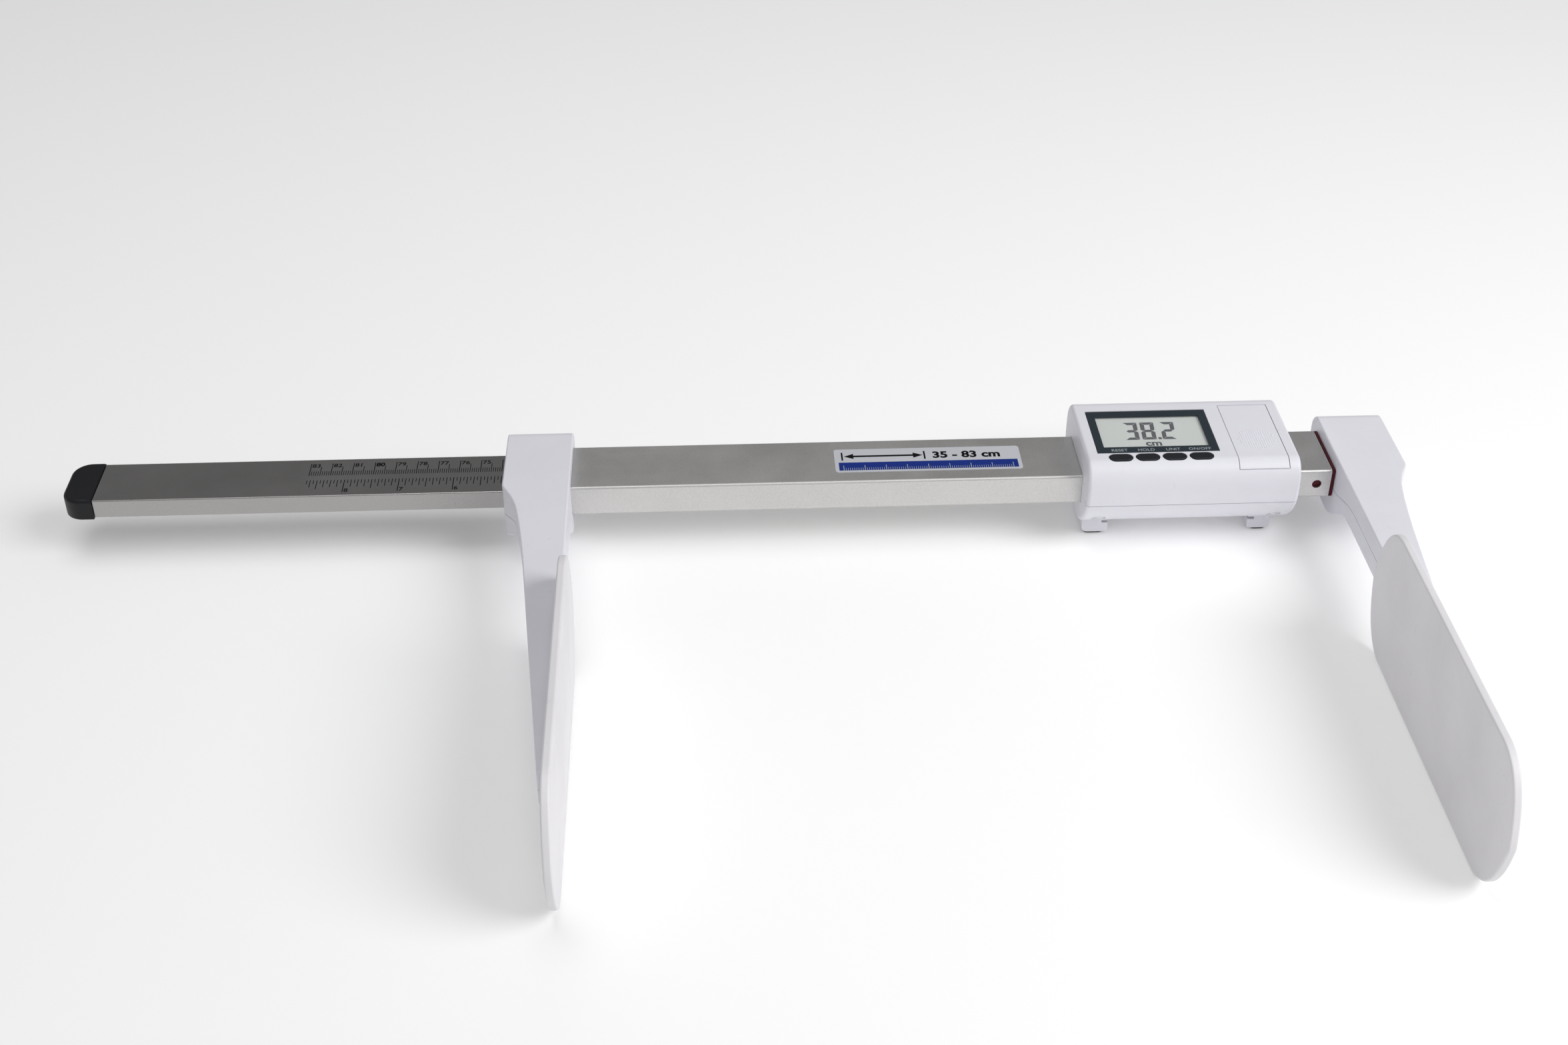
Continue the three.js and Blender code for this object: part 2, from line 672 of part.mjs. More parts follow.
function makeUpperCase() {
  const over = box(caseStart - 1, caseEnd + 1, -60, 60, casePartingZ + fitGap / 2, caseTopZ + 1);
  const bosses = caseScrews.map((at) => pin(at, up, caseTopZ, bossRadius));
  const bayWalls = box(
    bay.x0 - bayWall,
    bay.x1 + bayWall,
    bay.y0 - bayWall,
    bay.y1 + bayWall,
    bay.z0 - bayWall / 2,
    caseTopZ,
  );
  const inside = join(bayWalls, ...bosses).intersect(caseTrim());
  const bayHollow = box(bay.x0, bay.x1, bay.y0, bay.y1, bay.z0, caseTopZ - doorThickness - 0.1);
  const bezelHole = box(
    bezel.x0 - fitGap,
    bezel.x1 + fitGap,
    bezel.y0 - fitGap,
    bezel.y1 + fitGap,
    axisHeight,
    caseTopZ + 1,
  );
  const half = buttonWidth / 2 + fitGap;
  const keyHoles = buttonXs.map((x) => {
    const shape = stadium(x, buttonY, buttonLength + 2 * fitGap, buttonWidth + 2 * fitGap);
    return alongZ(shape, axisHeight, caseTopZ + 1, { steps: 4 });
  });
  const reach = buttonLength / 2 + 1;
  const keySlot = box(
    buttonXs[0] - reach,
    buttonXs[buttonCount - 1] + reach,
    buttonY - half,
    buttonY + half,
    casePartingZ,
    caseTopZ - caseWall - fitGap,
  );
  const pilots = caseScrews.map((at) => pin(at, up, bay.z0 - 1.2, screwHole));
  const doorway = doorRegion(fitGap, doorThickness + fitGap);
  const shell = cut(join(cut(caseSkin(), caseHollow()), inside), bayHollow, doorway);
  const opened = cut(shell, bezelHole, ...keyHoles, keySlot, ...pilots, tubeThroughCase());
  add("display_upper_case", opened.intersect(over), whitePlastic);
}

const screwSeatZ = caseBottomZ + 9.5;

function makeLowerCase() {
  const under = box(caseStart - 1, caseEnd + 1, -60, 60, 0, casePartingZ - fitGap / 2);
  const bosses = caseScrews.map((at) => pin(at, up, caseTopZ, screwHeadRadius + 1.8));
  const inside = join(...bosses).intersect(caseTrim());
  const wells = caseScrews.map((at) => pin(at, up, screwSeatZ, screwHeadRadius + 0.6));
  const holes = caseScrews.map((at) => pin(at, up, caseTopZ, screwHole));
  const feet = [foot(leftFoot, true), foot(rightFoot, false)];
  const shell = cut(join(cut(caseSkin(), caseHollow()), inside), ...wells, ...holes, tubeThroughCase());
  add("display_lower_case", join(shell.intersect(under), ...feet), whitePlastic);
}

// A foot rail under the case: round at its outer lower edge, square and notched at its inner side.
function foot([from, to], roundLeft) {
  const x0 = caseStart + from;
  const x1 = caseStart + to;
  const r = footRound;
  const low = padThickness;
  const high = caseBottomZ + 0.8;
  const shape = new THREE.Shape();
  if (roundLeft) {
    shape.moveTo(x1, low).lineTo(x1, high).lineTo(x0, high).lineTo(x0, low + r);
    shape.absarc(x0 + r, low + r, r, 2 * around, 3 * around);
  } else {
    shape.moveTo(x0, high).lineTo(x0, low).lineTo(x1 - r, low);
    shape.absarc(x1 - r, low + r, r, -around, 0);
    shape.lineTo(x1, high);
  }
  const rail = alongY(shape, -footDepth / 2, footDepth / 2, { steps: 5 });
  const notchFrom = roundLeft ? x1 - footNotch : x0 - 1;
  const notchTop = caseBottomZ - 0.02;
  const notched = box(notchFrom, notchFrom + footNotch + 1, -footDepth, 0, notchTop - 1.3, notchTop);
  return cut(rail, notched);
}

function makeFootPads() {
  const spans = {
    left: [leftFoot[0] + padOuterMargin, leftFoot[1] - padInnerMargin],
    right: [rightFoot[0] + padInnerMargin, rightFoot[1] - padOuterMargin],
  };
  for (const [name, [from, to]] of Object.entries(spans)) {
    const half = footDepth / 2 - 0.8;
    const pad = roundedRect(caseStart + from, -half, caseStart + to, half, 2);
    add(`foot_pad_${name}`, alongZ(pad, 0, padThickness - 0.02, { bevel: 0.35 }), padRubber);
  }
}

function makeDisplay() {
  const frame = alongZ(
    roundedRect(bezel.x0, bezel.y0, bezel.x1, bezel.y1, 0.8),
    caseTopZ - bezelDrop - bezelThickness,
    caseTopZ - bezelDrop,
  );
  const windowX0 = bezel.x0 + windowMargin;
  const windowX1 = bezel.x1 - windowMargin;
  const window = box(windowX0, windowX1, -windowHalf, windowHalf, axisHeight, caseTopZ + 1);
  add("display_bezel", cut(frame, window), bezelPlastic);
  const lensTop = caseTopZ - bezelDrop - bezelThickness - layerGap;
  const reach = windowHalf + lensLip;
  const lensFloor = lensTop - lensThickness;
  const lens = box(windowX0 - lensLip, windowX1 + lensLip, -reach, reach, lensFloor, lensTop);
  add("display_lens", lens, clearPlastic);
  const moduleTop = lensTop - lensThickness - layerGap;
  const moduleZ = moduleTop - moduleThickness;
  const half = windowHalf + moduleLip;
  const panel = box(windowX0 - moduleLip, windowX1 + moduleLip, -half, half, moduleZ, moduleTop);
  add("lcd_module", panel, lcdGrey);
  const boardTop = moduleZ - fitGap;
  const boardX0 = caseStart + caseScrewInset + bossRadius + 0.6;
  const boardX1 = bay.x0 - bayWall - 0.4;
  const board = box(boardX0, boardX1, boardFront, boardBack, boardTop - boardThickness, boardTop);
  const switches = buttonXs.map((x) => {
    const [top, half] = [boardTop + switchHeight, switchHalf];
    return box(x - half, x + half, buttonY - half, buttonY + half, boardTop - 1, top);
  });
  add("circuit_board", join(board, ...switches), boardGreen);
  makeButtons(boardTop + switchHeight);
}

function makeButtons(switchTop) {
  const lipTop = caseTopZ - caseWall - 2 * fitGap;
  buttonXs.forEach((x, i) => {
    const halfX = buttonLength / 2;
    const halfY = buttonWidth / 2;
    const cap = alongZ(
      stadium(x, buttonY, buttonLength, buttonWidth),
      lipTop - 0.5,
      caseTopZ + buttonProud,
      { bevel: 0.4, steps: 4 },
    );
    const [lipX, lipY] = [halfX + buttonLip, halfY - 0.3];
    const lip = box(x - lipX, x + lipX, buttonY - lipY, buttonY + lipY, lipTop - 1.4, lipTop);
    const stem = pin(point(x, buttonY, switchTop + buttonTravel + fitGap), up, lipTop - switchTop - 2, 1.5);
    add(`button_${i + 1}`, join(cap, lip, stem), buttonRubber);
  });
}

function makeBatteries() {
  const lid = doorRegion(-fitGap / 2, doorThickness).intersect(caseSkin());
  add("battery_door", lid, whitePlastic);
  const cellY0 = bay.y1 - contactThickness - 2 * fitGap - cellLength;
  [-1, 1].forEach((side, i) => {
    const x = doorMiddle + side * (cellRadius + cellGap / 2);
    const flip = side < 0;
    const along = point(0, 1, 0);
    const canStart = point(x, cellY0 + (flip ? 1 : 0), cellZ);
    const nubStart = point(x, cellY0 + (flip ? 0 : cellLength - 1.5), cellZ);
    const body = pin(canStart, along, cellLength - 1, cellRadius, 16);
    const nub = pin(nubStart, along, 1.5, 1.8, 10);
    add(`battery_${i + 1}`, join(body, nub), cellJacket);
  });
  const tall = 4;
  const spots = { front: bay.y0 + fitGap, back: bay.y1 - fitGap - contactThickness };
  for (const [name, y] of Object.entries(spots)) {
    const plate = box(bay.x0 + 0.6, bay.x1 - 0.6, y, y + contactThickness, cellZ - tall, cellZ + tall);
    add(`battery_contact_${name}`, plate, springSteel);
  }
}

function makeReader() {
  const middle = caseStart + readerAt;
  const top = barBottom - stripThickness - readerGap;
  const half = readerLength / 2;
  const side = readerWidth / 2;
  const bottom = caseBottomZ + caseWall + fitGap;
  const head = box(middle - half, middle + half, -side, side, bottom, top);
  add("bar_reader", head, blackPlastic);
}

makeUpperCase();
makeLowerCase();
makeFootPads();
makeDisplay();
makeBatteries();
makeReader();
caseScrews.forEach((at, i) => {
  const length = bay.z0 - 1.6 - screwSeatZ;
  screw(`case_screw_${i + 1}`, point(at.x, at.y, screwSeatZ), up, length);
});

rod.position.x = -(leftmost + rightmost) / 2;
rod.position.y = -(paddleFront + caseHalfWidth) / 2;

export default rod;
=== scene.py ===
import math

import bmesh
import bpy
from mathutils import Matrix, Vector


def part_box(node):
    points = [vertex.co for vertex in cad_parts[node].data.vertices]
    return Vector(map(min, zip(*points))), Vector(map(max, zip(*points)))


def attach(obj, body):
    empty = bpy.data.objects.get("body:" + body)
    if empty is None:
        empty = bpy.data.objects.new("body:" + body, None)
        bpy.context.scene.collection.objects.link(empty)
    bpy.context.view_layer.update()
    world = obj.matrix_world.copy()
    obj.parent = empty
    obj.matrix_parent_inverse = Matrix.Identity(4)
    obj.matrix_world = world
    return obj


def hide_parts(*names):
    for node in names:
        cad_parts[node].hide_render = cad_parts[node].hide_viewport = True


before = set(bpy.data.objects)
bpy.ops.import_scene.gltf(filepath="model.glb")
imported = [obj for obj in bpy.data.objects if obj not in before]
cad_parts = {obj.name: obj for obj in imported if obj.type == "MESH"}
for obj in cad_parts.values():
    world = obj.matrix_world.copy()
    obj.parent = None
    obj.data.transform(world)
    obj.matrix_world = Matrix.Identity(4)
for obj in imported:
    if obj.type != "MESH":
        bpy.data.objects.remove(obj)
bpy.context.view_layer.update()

# Shapes are given in millimetres: x from the fixed jaw's measuring face towards the sliding jaw,
# y from the tube's centreline away from the paddles, z up from the table.
MM = 0.001
GAP = 0.3  # between neighbouring pieces
SEAM = 0.15  # half the gap along a parting line
PAST = 4  # how far a cutting shape stands past what it cuts
SCREW_HEAD = 1.8
WELL_RADIUS = 3.1
TUBE_WALL = 1.2
BAR_WALL = 1.3


def corners(node):
    low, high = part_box(node)
    return [v / MM for v in low], [v / MM for v in high]


ORIGIN_X = corners("fixed_paddle")[1][0]
ORIGIN_Y = (corners("outer_tube")[0][1] + corners("outer_tube")[1][1]) / 2


class Span:
    """The box of a CAD node, in the rod's own millimetres."""

    def __init__(self, node):
        low, high = corners(node)
        self.x0, self.y0, self.z0 = low[0] - ORIGIN_X, low[1] - ORIGIN_Y, low[2]
        self.x1, self.y1, self.z1 = high[0] - ORIGIN_X, high[1] - ORIGIN_Y, high[2]
        self.x = (self.x0 + self.x1) / 2
        self.y = (self.y0 + self.y1) / 2
        self.z = (self.z0 + self.z1) / 2


tube = Span("outer_tube")
bar = Span("inner_bar")
cap = Span("bar_end_cap")
flange = Span("tube_end_bushing")
case = Span("display_upper_case")
door = Span("battery_door")
bezel = Span("display_bezel")
lens = Span("display_lens")
module = Span("lcd_module")
head = Span("fixed_head_upper")
foot_low = Span("fixed_head_lower")
span = Span("sliding_paddle").x0
AXIS_Z = tube.z


def placed(x, y, z):
    """A point in the rod's millimetres as one in the scene's metres."""
    return (x + ORIGIN_X) * MM, (y + ORIGIN_Y) * MM, z * MM


def linked(name, data):
    made = bpy.data.objects.new(name, data)
    bpy.context.scene.collection.objects.link(made)
    return made


def coated(mesh, material):
    mesh.materials.clear()
    mesh.materials.append(material)


def smoothed(mesh, angle):
    mesh.shade_smooth()
    mesh.set_sharp_from_angle(angle=math.radians(angle))


# ---------------------------------------------------------------- surfaces


def socket(tree, name, kind, value=None, out=False):
    made = tree.interface.new_socket(
        name=name, in_out="OUTPUT" if out else "INPUT", socket_type=kind
    )
    if value is not None:
        made.default_value = value
    return made


def node(tree, kind, inputs=None, **settings):
    made = tree.nodes.new(kind)
    for key, value in settings.items():
        setattr(made, key, value)
    for key, value in (inputs or {}).items():
        made.inputs[key].default_value = value
    return made


def wire(tree, source, out, target, into):
    tree.links.new(source.outputs[out], target.inputs[into])


def remap(tree, source, out, low, high, to_low=0.0, to_high=1.0):
    made = node(
        tree,
        "ShaderNodeMapRange",
        {"From Min": low, "From Max": high, "To Min": to_low, "To Max": to_high},
    )
    wire(tree, source, out, made, "Value")
    return made


def math_node(tree, operation, a, b):
    """A maths node whose a and b are numbers or (node, output) pairs."""
    made = tree.nodes.new("ShaderNodeMath")
    made.operation = operation
    for index, value in enumerate((a, b)):
        if isinstance(value, tuple):
            tree.links.new(value[0].outputs[value[1]], made.inputs[index])
        else:
            made.inputs[index].default_value = value
    return made


def moulded_surface():
    """Moulded grain, cloudy handling marks and a few fine scuffs."""
    tree = bpy.data.node_groups.new("moulded surface", "ShaderNodeTree")
    socket(tree, "Grain per metre", "NodeSocketFloat", 2600.0)
    socket(tree, "Grain depth", "NodeSocketFloat", 0.15)
    socket(tree, "Handling", "NodeSocketFloat", 0.4)
    socket(tree, "Wear", "NodeSocketFloat", out=True)
    socket(tree, "Normal", "NodeSocketVector", out=True)
    given = tree.nodes.new("NodeGroupInput")
    result = tree.nodes.new("NodeGroupOutput")
    place = tree.nodes.new("ShaderNodeTexCoord")
    grain = node(tree, "ShaderNodeTexNoise", {"Detail": 2.0})
    wire(tree, place, "Object", grain, "Vector")
    wire(tree, given, "Grain per metre", grain, "Scale")
    cloud = node(tree, "ShaderNodeTexNoise", {"Scale": 22.0, "Detail": 5.0, "Roughness": 0.6})
    wire(tree, place, "Object", cloud, "Vector")
    scuff = node(
        tree, "ShaderNodeTexNoise", {"Scale": 130.0, "Detail": 6.0, "Distortion": 2.2}
    )
    wire(tree, place, "Object", scuff, "Vector")
    clouded = remap(tree, cloud, "Fac", 0.42, 0.72)
    scuffed = remap(tree, scuff, "Fac", 0.66, 0.72)
    both = math_node(tree, "ADD", (clouded, 0), (scuffed, 0))
    wear = math_node(tree, "MULTIPLY", (both, 0), (given, "Handling"))
    bump = node(tree, "ShaderNodeBump", {"Distance": 0.00004})
    wire(tree, given, "Grain depth", bump, "Strength")
    wire(tree, grain, "Fac", bump, "Height")
    wire(tree, wear, 0, result, "Wear")
    wire(tree, bump, "Normal", result, "Normal")
    return tree


def drawn_metal():
    """Fine draw lines along x over a blasted speckle."""
    tree = bpy.data.node_groups.new("drawn metal", "ShaderNodeTree")
    socket(tree, "Line strength", "NodeSocketFloat", 0.3)
    socket(tree, "Speckle", "NodeSocketFloat", out=True)
    socket(tree, "Wear", "NodeSocketFloat", out=True)
    socket(tree, "Normal", "NodeSocketVector", out=True)
    given = tree.nodes.new("NodeGroupInput")
    result = tree.nodes.new("NodeGroupOutput")
    place = tree.nodes.new("ShaderNodeTexCoord")
    stretch = node(tree, "ShaderNodeMapping", {"Scale": (30.0, 3200.0, 3200.0)})
    wire(tree, place, "Object", stretch, "Vector")
    lines = node(tree, "ShaderNodeTexNoise", {"Scale": 1.0, "Detail": 3.0})
    wire(tree, stretch, "Vector", lines, "Vector")
    blast = node(tree, "ShaderNodeTexNoise", {"Scale": 3000.0, "Detail": 2.0})
    wire(tree, place, "Object", blast, "Vector")
    rubbed = node(tree, "ShaderNodeTexNoise", {"Scale": 14.0, "Detail": 6.0, "Roughness": 0.65})
    wire(tree, place, "Object", rubbed, "Vector")
    wear = remap(tree, rubbed, "Fac", 0.45, 0.75)
    speckle = remap(tree, blast, "Fac", 0.3, 0.7)
    height = math_node(tree, "ADD", (lines, "Fac"), (blast, "Fac"))
    bump = node(tree, "ShaderNodeBump", {"Distance": 0.00003})
    wire(tree, given, "Line strength", bump, "Strength")
    wire(tree, height, 0, bump, "Height")
    wire(tree, speckle, 0, result, "Speckle")
    wire(tree, wear, 0, result, "Wear")
    wire(tree, bump, "Normal", result, "Normal")
    return tree


MOULDED = moulded_surface()
DRAWN = drawn_metal()


def blank(name):
    made = bpy.data.materials.new(name)
    made.use_nodes = True
    return made, made.node_tree, made.node_tree.nodes["Principled BSDF"]


def tinted(tree, surface, out, shader, color, other):
    """Base colour that goes from color to other with a mask."""
    mix = tree.nodes.new("ShaderNodeMix")
    mix.data_type = "RGBA"
    mix.inputs[6].default_value = (*color, 1.0)
    mix.inputs[7].default_value = (*other, 1.0)
    wire(tree, surface, out, mix, 0)
    tree.links.new(mix.outputs[2], shader.inputs["Base Color"])


def plastic(name, color, roughness, grain=2600.0, depth=0.15, handling=0.4, worn=0.88, shine=0.5):
    made, tree, shader = blank(name)
    shader.inputs["Specular IOR Level"].default_value = shine
    surface = node(tree, "ShaderNodeGroup", node_tree=MOULDED)
    surface.inputs["Grain per metre"].default_value = grain
    surface.inputs["Grain depth"].default_value = depth
    surface.inputs["Handling"].default_value = handling
    tinted(tree, surface, "Wear", shader, color, [c * worn for c in color])
    rough = remap(tree, surface, "Wear", 0.0, 1.0, roughness, roughness + 0.22)
    wire(tree, rough, 0, shader, "Roughness")
    wire(tree, surface, "Normal", shader, "Normal")
    return made


def metal(name, color, roughness, lines=0.3, metallic=1.0):
    made, tree, shader = blank(name)
    surface = node(tree, "ShaderNodeGroup", node_tree=DRAWN)
    surface.inputs["Line strength"].default_value = lines
    shader.inputs["Metallic"].default_value = metallic
    tinted(tree, surface, "Speckle", shader, [c * 0.9 for c in color], [c * 1.08 for c in color])
    rough = remap(tree, surface, "Wear", 0.0, 1.0, roughness, roughness + 0.12)
    wire(tree, rough, 0, shader, "Roughness")
    wire(tree, surface, "Normal", shader, "Normal")
    return made


def window_surface():
    made = plastic("clear window", (0.93, 0.95, 0.94), 0.04, 900.0, 0.02, 0.25, 0.97)
    made.node_tree.nodes["Principled BSDF"].inputs["Alpha"].default_value = 0.12
    return made


white = plastic("white moulding", (0.79, 0.785, 0.845), 0.38)
paddle_white = plastic("paddle moulding", (0.78, 0.765, 0.79), 0.46, 2200.0, 0.25, 0.5)
aluminium = metal("satin aluminium", (0.66, 0.65, 0.64), 0.46, 0.6)
bar_metal = metal("bar aluminium", (0.42, 0.41, 0.405), 0.26, 0.2)
black = plastic("black moulding", (0.006, 0.0065, 0.008), 0.42, 2000.0, 0.2, 0.5, 1.8, 0.3)
maroon = plastic("maroon moulding", (0.075, 0.003, 0.008), 0.45, 2000.0, 0.15, 0.4, 1.3, 0.25)
bezel_grey = plastic("bezel moulding", (0.016, 0.027, 0.036), 0.36, 2400.0, 0.15, 0.4, 1.4, 0.4)
glass = window_surface()
lcd = plastic("display panel", (0.62, 0.65, 0.63), 0.3, 1500.0, 0.03, 0.4, 0.9)
lcd_ink = plastic("display segments", (0.03, 0.036, 0.05), 0.45, 1500.0, 0.05, 0.3, 1.2, 0.2)
rubber = plastic("button rubber", (0.008, 0.0095, 0.013), 0.55, 1800.0, 0.25, 0.5, 1.6, 0.35)
pad = plastic("pad rubber", (0.006, 0.006, 0.006), 0.8, 900.0, 0.5, 0.7, 2.0, 0.2)
board = plastic("board", (0.03, 0.2, 0.09), 0.4, 1200.0, 0.2, 0.3)
steel = metal("plated steel", (0.62, 0.63, 0.65), 0.28, 0.2)
jacket = plastic("cell wrap", (0.08, 0.16, 0.26), 0.3, 1600.0, 0.08, 0.4)
black_ink = plastic("black print", (0.004, 0.004, 0.005), 0.7, 2500.0, 0.1, 0.3, 1.6, 0.1)
grey_ink = plastic("grey print", (0.33, 0.36, 0.38), 0.6, 2500.0, 0.1, 0.3, 0.9, 0.2)
blue_ink = plastic("blue print", (0.002, 0.022, 0.21), 0.5, 2500.0, 0.1, 0.3, 1.1, 0.3)
label_film = plastic("label film", (0.55, 0.56, 0.6), 0.3, 2600.0, 0.05, 0.3)

# ---------------------------------------------------------------- outlines


def arc(cx, cy, rx, ry, start, end, steps=8):
    angles = [math.radians(start + (end - start) * i / steps) for i in range(steps + 1)]
    return [(cx + rx * math.cos(a), cy + ry * math.sin(a)) for a in angles]


def bezier(a, b, c, d, steps=10):
    points = []
    for i in range(steps + 1):
        t = i / steps
        s = 1 - t
        weights = (s * s * s, 3 * s * s * t, 3 * s * t * t, t * t * t)
        points.append(
            tuple(sum(w * p[k] for w, p in zip(weights, (a, b, c, d))) for k in (0, 1))
        )
    return points


def rounded(x0, y0, x1, y1, r, steps=6):
    return (
        arc(x1 - r, y0 + r, r, r, -90, 0, steps)
        + arc(x1 - r, y1 - r, r, r, 0, 90, steps)
        + arc(x0 + r, y1 - r, r, r, 90, 180, steps)
        + arc(x0 + r, y0 + r, r, r, 180, 270, steps)
    )


def rectangle(x0, y0, x1, y1):
    return [(x0, y0), (x1, y0), (x1, y1), (x0, y1)]


def stadium(x, y, length, width, steps=12):
    r = width / 2
    return arc(x + length / 2 - r, y, r, r, -90, 90, steps) + arc(
        x - length / 2 + r, y, r, r, 90, 270, steps
    )


def circle(x, y, r, sides=32):
    return arc(x, y, r, r, 0, 360, sides)[:-1]


def inset(outline, amount):
    """A counter-clockwise outline moved inwards by amount."""
    moved = []
    for i, (x, y) in enumerate(outline):
        before, after = outline[i - 1], outline[(i + 1) % len(outline)]
        a = Vector((x - before[0], y - before[1])).normalized()
        b = Vector((after[0] - x, after[1] - y)).normalized()
        turn = max(1 + a.dot(b), 0.3)
        moved.append(
            (x - amount * (a.y + b.y) / turn, y + amount * (a.x + b.x) / turn)
        )
    return moved


def quarter(edge, steps=4):
    """(inset, height) pairs round a quarter of an edge of that radius."""
    if edge <= 0:
        return [(0.0, 0.0)]
    turns = [math.pi / 2 * i / steps for i in range(steps + 1)]
    return [(edge * (1 - math.sin(t)), edge * (1 - math.cos(t))) for t in turns]


# ---------------------------------------------------------------- solids


def thing(name, points, faces, material):
    """A closed mesh from points in the rod's millimetres, faces turned outwards."""
    mesh = bpy.data.meshes.new(name)
    mesh.from_pydata([placed(*p) for p in points], [], faces)
    work = bmesh.new()
    work.from_mesh(mesh)
    bmesh.ops.remove_doubles(work, verts=work.verts, dist=1e-7)
    bmesh.ops.recalc_face_normals(work, faces=work.faces)
    work.to_mesh(mesh)
    work.free()
    mesh.materials.append(material)
    return linked(name, mesh)


def skin_faces(rings, looped=False):
    """The four-sided faces between neighbouring rings of points."""
    count = len(rings[0])
    faces = []
    for k in range(len(rings) if looped else len(rings) - 1):
        a, b = k * count, (k + 1) % len(rings) * count
        for i in range(count):
            j = (i + 1) % count
            faces.append((a + i, a + j, b + j, b + i))
    return faces


def stacked(name, rings, material, looped=False):
    """A skin through rings of the same number of points, closed by its end rings."""
    count = len(rings[0])
    faces = skin_faces(rings, looped)
    if not looped:
        last = (len(rings) - 1) * count
        faces.append(tuple(reversed(range(count))))
        faces.append(tuple(range(last, last + count)))
    return thing(name, [p for ring in rings for p in ring], faces, material)


TURNED = {
    "x": lambda u, v, h: (h, u, v),
    "y": lambda u, v, h: (u, h, v),
    "z": lambda u, v, h: (u, v, h),
}


def slab(name, outline, low, high, axis, material, edge=0.0, low_edge=None, steps=4):
    """An outline drawn from low to high along an axis, with round edges."""
    turn = TURNED[axis]
    under = quarter(edge if low_edge is None else low_edge, steps)
    over = quarter(edge, steps)
    levels = [(low + h, d) for d, h in under] + [(high - h, d) for d, h in reversed(over)]
    rings = [[turn(u, v, h) for u, v in inset(outline, d)] for h, d in levels]
    return stacked(name, rings, material)


def plate(name, at, material, corner=0.0, edge=0.0):
    """A level plate that fills a box, with round corners where it has any."""
    outline = rectangle(at.x0, at.y0, at.x1, at.y1)
    if corner:
        outline = rounded(at.x0, at.y0, at.x1, at.y1, corner)
    return slab(name, outline, at.z0, at.z1, "z", material, edge)


def pipe(name, outer, inner, x0, x1, material):
    rings = [
        [(x, y, z) for y, z in outline]
        for x, outline in ((x0, outer), (x1, outer), (x1, inner), (x0, inner))
    ]
    return stacked(name, rings, material, looped=True)


def settle(target):
    """Makes a piece's modifiers part of its mesh."""
    graph = bpy.context.evaluated_depsgraph_get()
    mesh = bpy.data.meshes.new_from_object(target.evaluated_get(graph))
    target.modifiers.clear()
    target.data = mesh
    return target


def shaped(target, operation, tool):
    change = target.modifiers.new("shape", "BOOLEAN")
    change.operation = operation
    change.solver = "MANIFOLD"
    change.object = tool
    settle(target)
    bpy.data.objects.remove(tool)
    return target


def carve(target, *tools):
    for tool in tools:
        shaped(target, "DIFFERENCE", tool)
    return target


def soften(target, width, angle=40, segments=2):
    change = target.modifiers.new("soft", "BEVEL")
    change.width = width * MM
    change.segments = segments
    change.limit_method = "ANGLE"
    change.angle_limit = math.radians(angle)
    return settle(target)


def block(x0, x1, y0, y1, z0, z1):
    return slab("block", rectangle(x0, y0, x1, y1), z0, z1, "z", white)


def drill(x, y, z0, z1, radius):
    return slab("drill", circle(x, y, radius), z0, z1, "z", white)


def drill_x(y, z, x0, x1, radius):
    return slab("drill", circle(y, z, radius), x0, x1, "x", white)


def drill_y(x, z, y0, y1, radius):
    return slab("drill", circle(x, z, radius), y0, y1, "y", white)


def copied(target, name):
    made = target.copy()
    made.data = target.data.copy()
    made.name = name
    bpy.context.scene.collection.objects.link(made)
    return made


def joined(name, material, things):
    """Several meshes as one piece of one material."""
    work = bmesh.new()
    for each in things:
        work.from_mesh(each.data)
    mesh = bpy.data.meshes.new(name)
    work.to_mesh(mesh)
    work.free()
    mesh.materials.append(material)
    for each in things:
        bpy.data.objects.remove(each)
    return linked(name, mesh)


def mounted(piece, body, stands_for=(), smooth=32):
    smoothed(piece.data, smooth)
    level = piece.modifiers.new("level", "WEIGHTED_NORMAL")
    level.keep_sharp = True
    settle(piece)
    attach(piece, body)
    if stands_for:
        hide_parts(*stands_for)
    return piece


def lettering(text, size, x, y, z, material, align="LEFT", weight=0.0):
    """Raised print on a level surface."""
    curve = bpy.data.curves.new(text, "FONT")
    curve.body = text
    curve.size = size * MM
    curve.align_x = align
    curve.offset = weight * MM
    curve.extrude = 0.015 * MM
    curve.resolution_u = 4
    writing = linked(text, curve)
    graph = bpy.context.evaluated_depsgraph_get()
    mesh = bpy.data.meshes.new_from_object(writing.evaluated_get(graph))
    bpy.data.objects.remove(writing)
    mesh.transform(Matrix.Translation(placed(x, y, z)))
    coated(mesh, material)
    return linked(text, mesh)


# ---------------------------------------------------------------- repeats


def node_plan(name):
    tree = bpy.data.node_groups.new(name, "GeometryNodeTree")
    socket(tree, "Geometry", "NodeSocketGeometry", out=True)
    return tree


def ending(tree, given, source, out):
    """Realised, given their material, and sent out."""
    real = tree.nodes.new("GeometryNodeRealizeInstances")
    wire(tree, source, out, real, 0)
    coat = tree.nodes.new("GeometryNodeSetMaterial")
    wire(tree, real, 0, coat, "Geometry")
    wire(tree, given, "Material", coat, "Material")
    result = tree.nodes.new("NodeGroupOutput")
    wire(tree, coat, 0, result, "Geometry")


